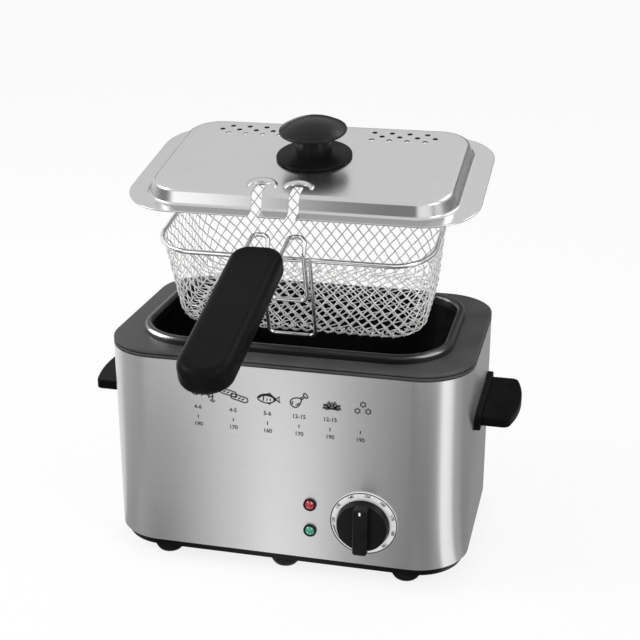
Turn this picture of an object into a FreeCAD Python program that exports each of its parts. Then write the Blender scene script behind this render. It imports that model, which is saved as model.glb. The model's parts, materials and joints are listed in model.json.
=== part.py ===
import FreeCAD, Part
import math
import os

from FreeCAD import Rotation, Vector

# A small electric deep fryer, in millimetres. X runs to the right, -Y faces the cook and +Z is up.
# The origin is on the table under the middle of the body.

# Casing
BODY_WIDTH = 240.0
BODY_DEPTH = 156.0
BODY_CORNER = 35.0
FOOT_HEIGHT = 8.0
FOOT_TOP_RADIUS = 10.5
FOOT_TREAD_RADIUS = 7.5
FOOT_BULGE = 0.7
FOOT_BULGE_HEIGHT = 3.2
FOOT_SIDE_INSET = 38.0
FOOT_EDGE_INSET = 16.0
FOOT_STEM_RADIUS = 3.0
FOOT_BARB_RADIUS = 4.4
FOOT_BARB_HEIGHT = 2.4
BAND_HEIGHT = 6.0
BAND_INSET = 0.4
BAND_TAPER = 3.5
TRAY_FLOOR = 3.0
TRAY_RIM_HEIGHT = 10.0
TRAY_WALL = 3.0
VENT_LENGTH = 26.0
VENT_WIDTH = 4.0
VENT_ROUND = 1.9
VENT_PITCH = 11.0
VENT_ROWS = 5
SHELL_HEIGHT = 131.5
SHELL_SHEET = 0.9
BEZEL_SEAM = 0.9
BEZEL_EDGE = 1.3
BEZEL_GROOVE = 1.0
BEZEL_GROOVE_DEPTH = 1.2
BEZEL_PLATE = 1.8
BEZEL_ROUND = 1.1
BEZEL_SKIRT_DEPTH = 7.0
BEZEL_SKIRT_WALL = 2.0
BEZEL_SIDE = 22.0
BEZEL_FRONT = 18.0
BOSS_RADIUS = 5.0
BOSS_DEPTH = 16.0
TIE_RADIUS = 2.0
TIE_HEAD_RADIUS = 3.8
TIE_HEAD_HEIGHT = 2.4
TIE_EDGE = 0.9
SHELL_FIT = 0.3
HOLE_FIT = 0.1
SEAT_GAP = 0.3

# Oil pot
POT_CORNER = 32.0
POT_DEPTH = 68.0
POT_DRAFT = 5.5
POT_WALL = 1.2
POT_FLOOR_ROUND = 9.0
LIP_HEIGHT = 5.5
LIP_WIDTH = 5.5
LIP_ROUND = 2.6
LIP_INNER_ROUND = 2.6
POT_FIT = 0.4

# Frying basket, given as it sits in the pot
BASKET_SIDE_GAP = 8.0
BASKET_FRONT_GAP = 6.8
BASKET_FLOOR_GAP = 0.5
BASKET_RIM_DROP = 7.5
BASKET_CORNER = 26.0
BASKET_TAPER = 6.5
BASKET_FLOOR_CORNER = 22.0
RIM_WIRE = 3.2
MESH_SHEET = 1.2
MESH_STRAND = 2.0
MESH_ACROSS = 15.0
MESH_DOWN = 17.0
MESH_BORDER = 1.2
MESH_LEAST_SHARE = 0.12
CORNER_COLUMNS = 3
WELD_GAP = 0.25
BRACKET_WIRE = 2.4
BRACKET_WIDTH = 31.0
BRACKET_ABOVE_RIM = 1.5
BRACKET_FOOT = 4.0
BRACKET_BEND = 4.0
BRACKET_LEAN = 4.2
HANDLE_WIRE = 3.0
HANDLE_SPACING = 23.5
HANDLE_JOG = 10.0
HANDLE_BEND = 4.0
HOOP_SETBACK = 2.7
HOOP_CLEARANCE = 1.4
HOOP_KNEE = 5.2
BRACE_DROP = 29.0
BRACE_LEAN = 2.5
HANDLE_DROOP = 4.0
GRIP_LENGTH = 129.0
GRIP_INNER_WIDTH = 33.0
GRIP_OUTER_WIDTH = 32.0
GRIP_THICKNESS = 17.0
GRIP_INNER_CORNER = 12.0
GRIP_OUTER_CORNER = 15.5
GRIP_EDGE = 5.5
GRIP_LID_GAP = 7.3
GRIP_SOCKET = 45.0

# Lid, given as it lies on the pot
LID_SIDE_OVERHANG = 8.7
LID_END_OVERHANG = 1.0
LID_CORNER = 34.0
LID_SHEET = 0.9
LID_SIDE_FLANGE = 13.5
LID_END_FLANGE = 8.5
LID_STEP_RUN = 3.5
LID_PANEL_RISE = 9.5
LID_PANEL_CORNER = 24.0
LID_GAP = 0.4
SLOT_SIDE_ROOM = 1.8
SLOT_PAST_HOOP = 6.5
SLOT_LIP_RADIUS = 8.5
SLOT_LIP_BEAD = 1.1
STEAM_HOLE_RADIUS = 1.8
STEAM_COLUMNS = 4
STEAM_ROWS = 3
STEAM_PITCH = 11.8
STEAM_ROW_PITCH = 5.7
STEAM_GROUP_X = 49.0
STEAM_REAR_INSET = 9.0
KNOB_SETBACK = 3.0
KNOB_DISC_RADIUS = 24.5
KNOB_DISC_HEIGHT = 4.0
KNOB_DISC_EDGE = 1.0
KNOB_STEM_RADIUS = 11.5
KNOB_STEM_HEIGHT = 13.5
KNOB_CAP_RADIUS = 21.8
KNOB_CAP_EDGE = 2.0
KNOB_CAP_CROWN = 6.5
KNOB_SCREW_RADIUS = 2.5
KNOB_SCREW_DEPTH = 14.0
KNOB_SCREW_HEAD_RADIUS = 4.6
KNOB_SCREW_HEAD = 2.8
WASHER_RADIUS = 7.0
WASHER_SHEET = 1.0

# Raised pose: the basket tips back about the wrist of the hand on its grip, and the lid floats over it
LIFT_RISE = 72.0
LIFT_LEAN = 11.5
LID_LIFT = 26.5
LID_SHIFT = 6.5

# Controls on the front
DIAL_X = 56.2
DIAL_Z = 44.4
DIAL_RING_RADIUS = 22.0
DIAL_RING_BORE = 12.0
DIAL_RING_SHEET = 0.8
KNOB_GAP = 1.5
DIAL_KNOB_RADIUS = 17.5
DIAL_KNOB_BASE = 5.0
DIAL_KNOB_TAPER = 1.2
DIAL_GRIP_WIDTH = 9.5
DIAL_GRIP_DEPTH = 6.5
DIAL_GRIP_ROUND = 2.0
SHAFT_RADIUS = 3.0
SHAFT_FIT = 0.05
SHAFT_ROOM = 2.5
SHAFT_IN_KNOB = 9.0
SHAFT_IN_BODY = 14.0
THERMOSTAT_WIDTH = 34.0
THERMOSTAT_HEIGHT = 28.0
THERMOSTAT_DEPTH = 24.0
THERMOSTAT_ROUND = 3.0
THERMOSTAT_PLATE = 1.5
THERMOSTAT_PLATE_MARGIN = 4.0
PANEL_SCREW_SPACING = 22.0
PANEL_SCREW_RADIUS = 1.6
PANEL_SCREW_HEAD_RADIUS = 2.9
PANEL_SCREW_HEAD = 1.1
PANEL_SCREW_DEPTH = 5.0
LAMP_X = 20.7
LAMP_UPPER_Z = 53.3
LAMP_LOWER_Z = 34.6
LAMP_BEZEL_RADIUS = 4.3
LAMP_BEZEL_SHEET = 1.2
LAMP_BODY_RADIUS = 3.4
LAMP_BODY_LENGTH = 15.0
LAMP_LENS_RADIUS = 3.0
LAMP_LENS_CROWN = 1.6
LAMP_LENS_DEPTH = 5.0

# Side handles
HANDLE_DROP = 36.0
HANDLE_PLATE_HALF = 40.0
HANDLE_PLATE_HEIGHT = 11.0
HANDLE_PLATE = 4.0
HANDLE_PLATE_CORNER = 3.0
HANDLE_PLATE_EDGE = 1.2
HANDLE_REACH = 22.5
HANDLE_END_REACH = 17.0
HANDLE_HALF = 35.0
HANDLE_CORNER = 5.0
HANDLE_ROOT_INSET = 2.5
HANDLE_THICKNESS = 6.0
HANDLE_EDGE = 1.2
HANDLE_WALL = 2.6
SIDE_SCREW_RADIUS = 2.0
SIDE_SCREW_HEAD_RADIUS = 3.6
SIDE_SCREW_HEAD = 2.2
SIDE_SCREW_SPACING = 50.0
SIDE_SCREW_BITE = 3.0

# Heater and wiring under the pot
SPREADER_WIDTH = 156.0
SPREADER_DEPTH = 80.0
SPREADER_CORNER = 20.0
SPREADER_PLATE = 3.0
ELEMENT_RADIUS = 3.5
ELEMENT_RUN = 136.0
ELEMENT_SPACING = 44.0
ELEMENT_BEND = 12.0
ELEMENT_TAIL = 22.0
CONTACT_GAP = 0.15
CLAMP_X = 30.0
CLAMP_WIDTH = 12.0
CLAMP_SPAN = 58.0
CLAMP_SHEET = 1.5
CLAMP_SCREW_RADIUS = 2.0
CLAMP_SCREW_HEAD_RADIUS = 3.6
CLAMP_SCREW_HEAD = 2.4
CLAMP_SCREW_BITE = 2.0
CUTOUT_X = 52.0
CUTOUT_RADIUS = 8.0
CUTOUT_HEIGHT = 8.0
BULB_RADIUS = 3.0
BULB_LENGTH = 60.0
BULB_INSET = 7.0
CAPILLARY_RADIUS = 1.0
CAPILLARY_BEND = 6.0
CAPILLARY_LEAD = 14.0
SHIELD_WIDTH = 180.0
SHIELD_DEPTH = 80.0
SHIELD_CORNER = 12.0
SHIELD_SHEET = 0.8
SHIELD_DROP = 24.0
SHIELD_LEG = 10.0
SHIELD_LEG_INSET = 6.0
SHIELD_HOLE_ROOM = 3.0
TERMINAL_X = -62.0
TERMINAL_INSET = 31.0
TERMINAL_LENGTH = 40.0
TERMINAL_DEPTH = 17.0
TERMINAL_HEIGHT = 15.0
TERMINAL_WAYS = 3
TERMINAL_WELL_RADIUS = 3.6
TERMINAL_WELL_DEPTH = 9.0
GLAND_X = -62.0
GLAND_Z = 34.0
GLAND_BODY_RADIUS = 6.5
GLAND_FLANGE_RADIUS = 9.5
GLAND_FLANGE = 3.5
GLAND_INSIDE = 14.0
GLAND_BORE = 3.8
GLAND_NUT_RADIUS = 9.5
GLAND_NUT_HEIGHT = 4.0

# Heights and half sizes that follow from the sizes above
HALF_WIDTH = BODY_WIDTH / 2
HALF_DEPTH = BODY_DEPTH / 2
TRAY_FLOOR_TOP = FOOT_HEIGHT + TRAY_FLOOR
SHELL_LOW = FOOT_HEIGHT + BAND_HEIGHT
SHELL_HIGH = SHELL_LOW + SHELL_HEIGHT
BEZEL_HIGH = SHELL_HIGH + BEZEL_SEAM + BEZEL_EDGE + BEZEL_GROOVE + BEZEL_PLATE
POT_HIGH = BEZEL_HIGH + LIP_HEIGHT
POT_FLOOR_HIGH = POT_HIGH - POT_DEPTH
POT_UNDER = POT_FLOOR_HIGH - POT_WALL
MOUTH_X = HALF_WIDTH - BEZEL_SIDE
MOUTH_Y = HALF_DEPTH - BEZEL_FRONT
FRONT_INSIDE = -HALF_DEPTH + SHELL_SHEET
SIDE_INSIDE = HALF_WIDTH - SHELL_SHEET
RIM_Z = POT_HIGH - BASKET_RIM_DROP
RIM_X = MOUTH_X - BASKET_SIDE_GAP
RIM_Y = MOUTH_Y - BASKET_FRONT_GAP
BASKET_UNDER = POT_FLOOR_HIGH + BASKET_FLOOR_GAP
WALL_HIGH = RIM_Z - RIM_WIRE / 2 - WELD_GAP
WALL_LOW = BASKET_UNDER + MESH_SHEET
LID_UNDER = POT_HIGH + LID_GAP
LID_X = MOUTH_X + LIP_WIDTH + LID_SIDE_OVERHANG
LID_Y = MOUTH_Y + LIP_WIDTH + LID_END_OVERHANG
PANEL_X = LID_X - LID_SIDE_FLANGE
PANEL_Y = LID_Y - LID_END_FLANGE
PANEL_UNDER = LID_UNDER + LID_PANEL_RISE
PANEL_HIGH = PANEL_UNDER + LID_SHEET
HOOP_Z = PANEL_UNDER - HOOP_CLEARANCE - HANDLE_WIRE / 2
HOOP_Y = -RIM_Y + HOOP_SETBACK
WRIST_Y = -LIFT_RISE / 2 / math.tan(math.radians(LIFT_LEAN / 2))
WRIST_Z = RIM_Z + LIFT_RISE / 2
HANDLE_PLATE_HIGH = SHELL_HIGH - HANDLE_DROP
HANDLE_PLATE_LOW = HANDLE_PLATE_HIGH - HANDLE_PLATE_HEIGHT
HANDLE_TOP = HANDLE_PLATE_HIGH - HANDLE_ROOT_INSET
HANDLE_UNDER = HANDLE_TOP - HANDLE_THICKNESS
SPREADER_LOW = POT_UNDER - SPREADER_PLATE
ELEMENT_Z = SPREADER_LOW - CONTACT_GAP - ELEMENT_RADIUS
CLAMP_HIGH = ELEMENT_Z - ELEMENT_RADIUS - CONTACT_GAP
SHIELD_Z = SPREADER_LOW - SHIELD_DROP


def rounded_loop(half_x, half_y, corner, z):
    """Closed rounded rectangle about the Z axis."""
    arcs = []
    for side_x, side_y, start in ((1, -1, -90), (1, 1, 0), (-1, 1, 90), (-1, -1, 180)):
        centre = Vector(side_x * (half_x - corner), side_y * (half_y - corner), z)
        turns = [math.radians(start + step) for step in (0, 45, 90)]
        arcs.append([centre + Vector(corner * math.cos(t), corner * math.sin(t), 0) for t in turns])
    edges = []
    for arc, following in zip(arcs, arcs[1:] + arcs[:1]):
        edges.append(Part.Arc(*arc).toShape())
        edges.append(Part.LineSegment(arc[2], following[0]).toShape())
    return Part.Wire(edges)


def block(half_x, half_y, corner, low, high):
    """Upright prism with rounded corners."""
    return Part.Face(rounded_loop(half_x, half_y, corner, low)).extrude(Vector(0, 0, high - low))


def frustum(low, high):
    """Solid between two rounded rectangles, each given as half_x, half_y, corner and z."""
    return Part.makeLoft([rounded_loop(*low), rounded_loop(*high)], True, True)


def rod(radius, start, end):
    """Round bar from one point to another."""
    run = end - start
    return Part.makeCylinder(radius, run.Length, start, run)


def fillet_where(shape, radius, test):
    """Round every edge of a shape whose centre passes a test."""
    return shape.makeFillet(radius, [edge for edge in shape.Edges if test(edge)])


def level_edges(z):
    """Test for edges that lie in one level plane."""
    return lambda edge: abs(edge.BoundBox.ZMin - z) < 1e-4 and abs(edge.BoundBox.ZMax - z) < 1e-4


def bent_wire(points, bend, radius):
    """Round wire along straight runs joined by bends of one radius."""
    pieces = []
    start = points[0]
    for before, corner, after in zip(points, points[1:], points[2:]):
        back = (before - corner).normalize()
        ahead = (after - corner).normalize()
        half = back.getAngle(ahead) / 2
        reach = bend / math.tan(half)
        centre = corner + (back + ahead).normalize() * (bend / math.sin(half))
        enter = corner + back * reach
        section = Part.Face(Part.Wire(Part.makeCircle(radius, enter, back)))
        pieces.append(rod(radius, start, enter))
        pieces.append(section.revolve(centre, ahead.cross(back), 180 - 2 * math.degrees(half)))
        start = corner + ahead * reach
    pieces.append(rod(radius, start, points[-1]))
    return pieces[0].fuse(pieces[1:]).removeSplitter()


def revolved(profile, centre, axis):
    """Solid of revolution of a closed half profile of (radius, height) points and arc middles."""
    upright = Part.Face(Part.Wire(profile))
    solid = upright.revolve(Vector(), Vector(0, 0, 1), 360)
    solid.Placement = FreeCAD.Placement(centre, Rotation(Vector(0, 0, 1), axis))
    return solid


def line(a, b):
    """Edge of a half profile, between (radius, height) points."""
    return Part.LineSegment(Vector(a[0], 0, a[1]), Vector(b[0], 0, b[1])).toShape()


def arc(a, middle, b):
    """Curved edge of a half profile, through three (radius, height) points."""
    return Part.Arc(*[Vector(p[0], 0, p[1]) for p in (a, middle, b)]).toShape()


def dome(radius, low, rise):
    """Spherical cap of a half profile, from its edge up to the axis."""
    ball = (radius ** 2 + rise ** 2) / 2 / rise
    half = math.asin(radius / ball) / 2
    middle = ball * math.sin(half), low + rise - ball + ball * math.cos(half)
    return arc((radius, low), middle, (0, low + rise))


def raise_basket(shape):
    """Carry a piece of the basket from its seat in the pot to the raised pose."""
    raised = shape.copy()
    raised.rotate(Vector(0, WRIST_Y, WRIST_Z), Vector(1, 0, 0), LIFT_LEAN)
    return raised


def raise_lid(shape):
    """Carry a piece of the lid from the closed pose to its place above the raised basket."""
    lifted = shape.copy()
    lifted.translate(Vector(LID_SHIFT, 0, LID_LIFT))
    return raise_basket(lifted)


def clip_convex(polygon, outline):
    """Part of a polygon that lies inside a convex outline, both listed anticlockwise."""
    for start, end in zip(outline, outline[1:] + outline[:1]):
        kept = []
        sides = [(end[0] - start[0]) * (p[1] - start[1]) - (end[1] - start[1]) * (p[0] - start[0])
                 for p in polygon]
        for index, point in enumerate(polygon):
            following = (index + 1) % len(polygon)
            if sides[index] >= 0:
                kept.append(point)
            if sides[index] * sides[following] < 0:
                share = sides[index] / (sides[index] - sides[following])
                other = polygon[following]
                kept.append((point[0] + share * (other[0] - point[0]),
                             point[1] + share * (other[1] - point[1])))
        least = MESH_BORDER / 20
        polygon = [p for p, before in zip(kept, kept[-1:] + kept[:-1]) if math.dist(p, before) > least]
        if len(polygon) < 3:
            return []
    return polygon


def area(polygon):
    """Area of a plane polygon listed anticlockwise."""
    pairs = zip(polygon, polygon[1:] + polygon[:1])
    return sum(a[0] * b[1] - b[0] * a[1] for a, b in pairs) / 2


def mesh_hole_scale():
    """Share of a diamond's pitch that stays open between two strands."""
    clear = MESH_ACROSS * MESH_DOWN / 2 / math.hypot(MESH_ACROSS, MESH_DOWN)
    return 1 - MESH_STRAND / 2 / clear


def diamond(x, y):
    """Open diamond of the wire mesh about a point of its plane."""
    half_x = MESH_ACROSS / 2 * mesh_hole_scale()
    half_y = MESH_DOWN / 2 * mesh_hole_scale()
    return [(x - half_x, y), (x, y - half_y), (x + half_x, y), (x, y + half_y)]


def mesh_holes(outline):
    """Diamonds of the wire mesh, cut off at a convex outline."""
    reach_x = max(abs(p[0]) for p in outline)
    reach_y = max(abs(p[1]) for p in outline)
    columns = int(reach_x / MESH_ACROSS) + 1
    rows = int(reach_y / MESH_DOWN) + 1
    centres = []
    for column in range(-columns, columns + 1):
        for row in range(-rows, rows + 1):
            centres.append((column * MESH_ACROSS, row * MESH_DOWN))
            centres.append(((column + 0.5) * MESH_ACROSS, (row + 0.5) * MESH_DOWN))
    whole = area(diamond(0, 0))
    clipped = [clip_convex(diamond(*centre), outline) for centre in centres]
    return [hole for hole in clipped if hole and area(hole) > whole * MESH_LEAST_SHARE]


def polygon_wire(polygon):
    """Closed wire through plane points."""
    corners = [Vector(p[0], p[1], 0) for p in polygon]
    return Part.makePolygon(corners + corners[:1])


def holed_sheet(wires):
    """Mesh sheet along +Z between an outer wire and the wires of its holes."""
    return Part.makeFace(wires, "Part::FaceMakerBullseye").extrude(Vector(0, 0, MESH_SHEET))


def wall_panel(half_high, half_low, slant):
    """Flat mesh wall in the XY plane: its top edge at +Y, its foot at -Y, its sheet along +Z."""
    half = slant / 2
    outline = [(-half_low, -half), (half_low, -half), (half_high, half), (-half_high, half)]
    inner = [(-half_low + MESH_BORDER, -half + MESH_BORDER), (half_low - MESH_BORDER, -half + MESH_BORDER),
             (half_high - MESH_BORDER, half - MESH_BORDER), (-half_high + MESH_BORDER, half - MESH_BORDER)]
    wires = [polygon_wire(outline)] + [polygon_wire(hole) for hole in mesh_holes(inner)]
    return holed_sheet(wires)


def taper_share(z):
    """How far down the basket wall a height is, from 0 at the rim to 1 at the floor."""
    return (RIM_Z - z) / (RIM_Z - BASKET_UNDER)


def wall_section(z):
    """Outer half sizes and corner of the mesh wall at one height."""
    share = taper_share(z)
    corner = BASKET_CORNER + (BASKET_FLOOR_CORNER - BASKET_CORNER) * share
    return RIM_X - BASKET_TAPER * share, RIM_Y - BASKET_TAPER * share, corner


def basket_wall(turn):
    """One straight mesh wall, turned about Z from the front wall's place."""
    high_x, high_y, high_corner = wall_section(WALL_HIGH)
    low_x, low_y, low_corner = wall_section(WALL_LOW)
    sideways = turn % 180 != 0
    high_half = (high_y if sideways else high_x) - high_corner
    low_half = (low_y if sideways else low_x) - low_corner
    high_out = high_x if sideways else high_y
    low_out = low_x if sideways else low_y
    slant = math.hypot(WALL_HIGH - WALL_LOW, high_out - low_out)
    lean = math.degrees(math.atan2(high_out - low_out, WALL_HIGH - WALL_LOW))
    panel = wall_panel(high_half, low_half, slant)
    panel.translate(Vector(0, 0, -MESH_SHEET))
    panel.rotate(Vector(), Vector(1, 0, 0), 90 + lean)
    panel.translate(Vector(0, -(high_out + low_out) / 2, (WALL_HIGH + WALL_LOW) / 2))
    panel.rotate(Vector(), Vector(0, 0, 1), turn)
    return panel


def corner_section(z):
    """Quarter ring of the mesh wall's front right corner at one height."""
    half_x, half_y, corner = wall_section(z)
    centre = Vector(half_x - corner, -half_y + corner, z)
    turns = [math.radians(t) for t in (-90, -45, 0)]
    outer = [centre + Vector(math.cos(t), math.sin(t), 0) * corner for t in turns]
    inner = [centre + Vector(math.cos(t), math.sin(t), 0) * (corner - MESH_SHEET) for t in turns]
    return Part.Wire([Part.Arc(*outer).toShape(), Part.LineSegment(outer[2], inner[2]).toShape(),
                      Part.Arc(*inner[::-1]).toShape(), Part.LineSegment(inner[0], outer[0]).toShape()])


def corner_hole(turn, z, across):
    """Cutter for one diamond of the corner mesh, along the corner's radius."""
    half_x, half_y, corner = wall_section(z)
    outward = Vector(math.cos(turn), math.sin(turn), 0)
    centre = Vector(half_x - corner, -half_y + corner, z) + outward * (corner - 3 * MESH_SHEET)
    side = Vector(-math.sin(turn), math.cos(turn), 0) * (across / 2 * mesh_hole_scale())
    rise = Vector(0, 0, MESH_DOWN / 2 * mesh_hole_scale())
    corners = [centre - side, centre - rise, centre + side, centre + rise]
    return Part.Face(Part.makePolygon(corners + corners[:1])).extrude(outward * (6 * MESH_SHEET))


def basket_corners():
    """Four rounded mesh corners of the basket wall."""
    wall = Part.makeLoft([corner_section(WALL_LOW), corner_section(WALL_HIGH)], True, True)
    step = math.pi / 2 / CORNER_COLUMNS
    middle = (WALL_HIGH + WALL_LOW) / 2
    reach = (WALL_HIGH - WALL_LOW) / 2 - MESH_DOWN / 2 * mesh_hole_scale() - MESH_BORDER
    rows = int(2 * reach / MESH_DOWN)
    cutters = []
    for half_row in range(-rows, rows + 1):
        staggered = half_row % 2
        for column in range(CORNER_COLUMNS - staggered):
            turn = -math.pi / 2 + (column + 0.5 + staggered / 2) * step
            z = middle + half_row * MESH_DOWN / 2
            if abs(z - middle) <= reach:
                cutters.append(corner_hole(turn, z, wall_section(z)[2] * step))
    corner = wall.cut(cutters)
    pair = [corner, corner.mirror(Vector(), Vector(1, 0, 0))]
    return Part.makeCompound(pair + [half.mirror(Vector(), Vector(0, 1, 0)) for half in pair])


def basket_floor():
    """Flat mesh floor of the basket."""
    half_x, half_y, corner = wall_section(BASKET_UNDER)
    outer = rounded_loop(half_x, half_y, corner, 0)
    inset = rounded_loop(half_x - MESH_BORDER, half_y - MESH_BORDER, corner - MESH_BORDER, 0)
    outline = [(p.x, p.y) for edge in inset.OrderedEdges for p in edge.discretize(4)[:-1]]
    wires = [outer] + [polygon_wire(hole) for hole in mesh_holes(outline)]
    floor = holed_sheet(wires)
    floor.translate(Vector(0, 0, BASKET_UNDER))
    return floor


def basket_rim():
    """Thick rim wire of the basket."""
    seam = Vector(0, RIM_Y, RIM_Z)
    plan = ((-RIM_X, RIM_Y), (-RIM_X, -RIM_Y), (RIM_X, -RIM_Y), (RIM_X, RIM_Y))
    corners = [Vector(x, y, RIM_Z) for x, y in plan]
    return bent_wire([seam] + corners + [seam], BASKET_CORNER, RIM_WIRE / 2)


def beside_rim(wire):
    """Y of a wire that is welded to the front of the rim."""
    return -RIM_Y - RIM_WIRE / 2 - WELD_GAP - wire / 2


def basket_bracket():
    """Wide U of wire on the front of the basket, from the rim to its foot."""
    top = Vector(BRACKET_WIDTH / 2, beside_rim(BRACKET_WIRE), RIM_Z + BRACKET_ABOVE_RIM)
    foot = Vector(BRACKET_WIDTH / 2, beside_rim(BRACKET_WIRE) + BRACKET_LEAN, BASKET_UNDER + BRACKET_FOOT)
    mirror = [Vector(-p.x, p.y, p.z) for p in (foot, top)]
    return bent_wire([top, foot] + mirror, BRACKET_BEND, BRACKET_WIRE / 2)


def along_handle(x, run):
    """Point on the handle's drooping line, at a distance from the hoop."""
    droop = math.radians(HANDLE_DROOP)
    return Vector(x, HOOP_Y - run * math.cos(droop), HOOP_Z - run * math.sin(droop))


def grip_run():
    """Distance along the handle from the hoop to the grip's near end."""
    return (LID_Y + GRIP_LID_GAP + HOOP_Y) / math.cos(math.radians(HANDLE_DROOP))


def handle_wire():
    """One wire: out of the grip, over the rim in two hoops, and down into a narrow U on the basket."""
    knee_y = beside_rim(HANDLE_WIRE)
    left = -HANDLE_SPACING / 2
    right = HANDLE_SPACING / 2
    end = grip_run() + GRIP_SOCKET
    points = [along_handle(left - HANDLE_JOG, end), Vector(left - HANDLE_JOG, HOOP_Y, HOOP_Z),
              Vector(left, HOOP_Y, HOOP_Z), Vector(left, knee_y, RIM_Z + HOOP_KNEE),
              Vector(left, knee_y + BRACE_LEAN, RIM_Z - BRACE_DROP),
              Vector(right, knee_y + BRACE_LEAN, RIM_Z - BRACE_DROP),
              Vector(right, knee_y, RIM_Z + HOOP_KNEE), Vector(right, HOOP_Y, HOOP_Z),
              Vector(right - HANDLE_JOG, HOOP_Y, HOOP_Z), along_handle(right - HANDLE_JOG, end)]
    return bent_wire(points, HANDLE_BEND, HANDLE_WIRE / 2)


def basket_grip():
    """Moulded grip: a slab with a half-round far end, rounded all over, with two wire sockets."""
    near = -grip_run()
    far = near - GRIP_LENGTH
    inner = GRIP_INNER_WIDTH / 2
    outer = GRIP_OUTER_WIDTH / 2
    plan = polygon_wire([(-inner, near), (-outer, far), (outer, far), (inner, near)])
    slab = Part.Face(plan).extrude(Vector(0, 0, GRIP_THICKNESS))
    slab.translate(Vector(0, 0, -GRIP_THICKNESS / 2))
    upright = [edge for edge in slab.Edges if edge.BoundBox.ZLength > GRIP_THICKNESS / 2]
    slab = slab.makeFillet(GRIP_INNER_CORNER, [e for e in upright if abs(e.CenterOfMass.y - near) < 1e-3])
    slab = fillet_where(slab, GRIP_OUTER_CORNER, lambda e: abs(e.CenterOfMass.y - far) < 1e-3
                        and e.BoundBox.ZLength > GRIP_THICKNESS / 2)
    slab = fillet_where(slab, GRIP_EDGE, level_edges(GRIP_THICKNESS / 2))
    slab = fillet_where(slab, GRIP_EDGE, level_edges(-GRIP_THICKNESS / 2))
    for side in (-1, 1):
        mouth = Vector(side * HANDLE_SPACING / 2, near + GRIP_EDGE, 0)
        bottom = Vector(side * HANDLE_SPACING / 2, near - GRIP_SOCKET - SEAT_GAP, 0)
        slab = slab.cut(rod(HANDLE_WIRE / 2 + HOLE_FIT, mouth, bottom))
    slab.rotate(Vector(), Vector(1, 0, 0), HANDLE_DROOP)
    slab.translate(Vector(-HANDLE_JOG, HOOP_Y, HOOP_Z))
    return slab


def slot_places():
    """X of the two lid slots, set off so that the wires stay clear while the lid comes down aslant."""
    drift = LID_SHIFT / LID_LIFT * (HOOP_Z + HANDLE_WIRE / 2 - LID_UNDER)
    return [side * HANDLE_SPACING / 2 - HANDLE_JOG - drift / 2 for side in (-1, 1)]


def slot_cutter(x):
    """Slot in the lid for one handle wire, open at the lid's front edge."""
    half = HANDLE_WIRE / 2 + SLOT_SIDE_ROOM
    end = HOOP_Y + SLOT_PAST_HOOP
    low = LID_UNDER - LID_SHEET
    height = LID_PANEL_RISE + 3 * LID_SHEET
    front = -LID_Y - LID_END_FLANGE
    run = Part.makeBox(2 * half, end - front, height, Vector(x - half, front, low))
    return run.fuse(Part.makeCylinder(half, height, Vector(x, end, low)))


def slot_lip(x):
    """Pressed bead round the inner end of one lid slot."""
    centre = Vector(x, HOOP_Y + SLOT_PAST_HOOP, PANEL_HIGH)
    ring = Part.makeTorus(SLOT_LIP_RADIUS, SLOT_LIP_BEAD, centre, Vector(0, 0, 1), -180, 180, 180)
    return ring


def steam_holes():
    """Cutters for the two groups of staggered steam holes at the back of the lid."""
    rear = PANEL_Y - LID_STEP_RUN - STEAM_REAR_INSET
    span = (STEAM_COLUMNS - 1) * STEAM_PITCH
    cutters = []
    for side in (-1, 1):
        for row in range(STEAM_ROWS):
            for column in range(STEAM_COLUMNS):
                x = STEAM_GROUP_X - span / 2 + (column + row % 2 / 2) * STEAM_PITCH
                centre = Vector(side * x, rear - row * STEAM_ROW_PITCH, PANEL_UNDER - LID_SHEET)
                cutters.append(Part.makeCylinder(STEAM_HOLE_RADIUS, 3 * LID_SHEET, centre))
    return cutters


def lid_plate():
    """Pressed sheet lid: a flat flange, a raised panel, two handle slots and steam holes."""
    flange = block(LID_X, LID_Y, LID_CORNER, LID_UNDER, LID_UNDER + LID_SHEET)
    top_x = PANEL_X - LID_STEP_RUN
    top_y = PANEL_Y - LID_STEP_RUN
    top_corner = LID_PANEL_CORNER - LID_STEP_RUN
    panel = frustum((PANEL_X, PANEL_Y, LID_PANEL_CORNER, LID_UNDER), (top_x, top_y, top_corner, PANEL_HIGH))
    hollow = frustum((PANEL_X - LID_SHEET, PANEL_Y - LID_SHEET, LID_PANEL_CORNER - LID_SHEET, LID_UNDER),
                     (top_x - LID_SHEET, top_y - LID_SHEET, top_corner - LID_SHEET, PANEL_UNDER))
    plate = flange.fuse(panel).cut(hollow)
    slots = slot_places()
    plate = plate.fuse([slot_lip(x) for x in slots])
    cutters = [slot_cutter(x) for x in slots] + steam_holes()
    centre = Vector(0, KNOB_SETBACK, LID_UNDER)
    cutters.append(Part.makeCylinder(KNOB_SCREW_RADIUS + HOLE_FIT, 2 * LID_PANEL_RISE, centre))
    return plate.cut(cutters).removeSplitter()


def knob_disc():
    """Heat-proof disc between the lid and its knob."""
    bore = KNOB_SCREW_RADIUS + HOLE_FIT
    high = KNOB_DISC_HEIGHT
    edge = high / 2
    out = KNOB_DISC_RADIUS
    flat = out - KNOB_DISC_EDGE
    profile = [line((bore, 0), (flat, 0)), arc((flat, 0), (out, edge / 2), (flat, edge)),
               line((flat, edge), (KNOB_STEM_RADIUS, high)), line((KNOB_STEM_RADIUS, high), (bore, high)),
               line((bore, high), (bore, 0))]
    return revolved(profile, Vector(0, KNOB_SETBACK, PANEL_HIGH), Vector(0, 0, 1))


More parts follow.
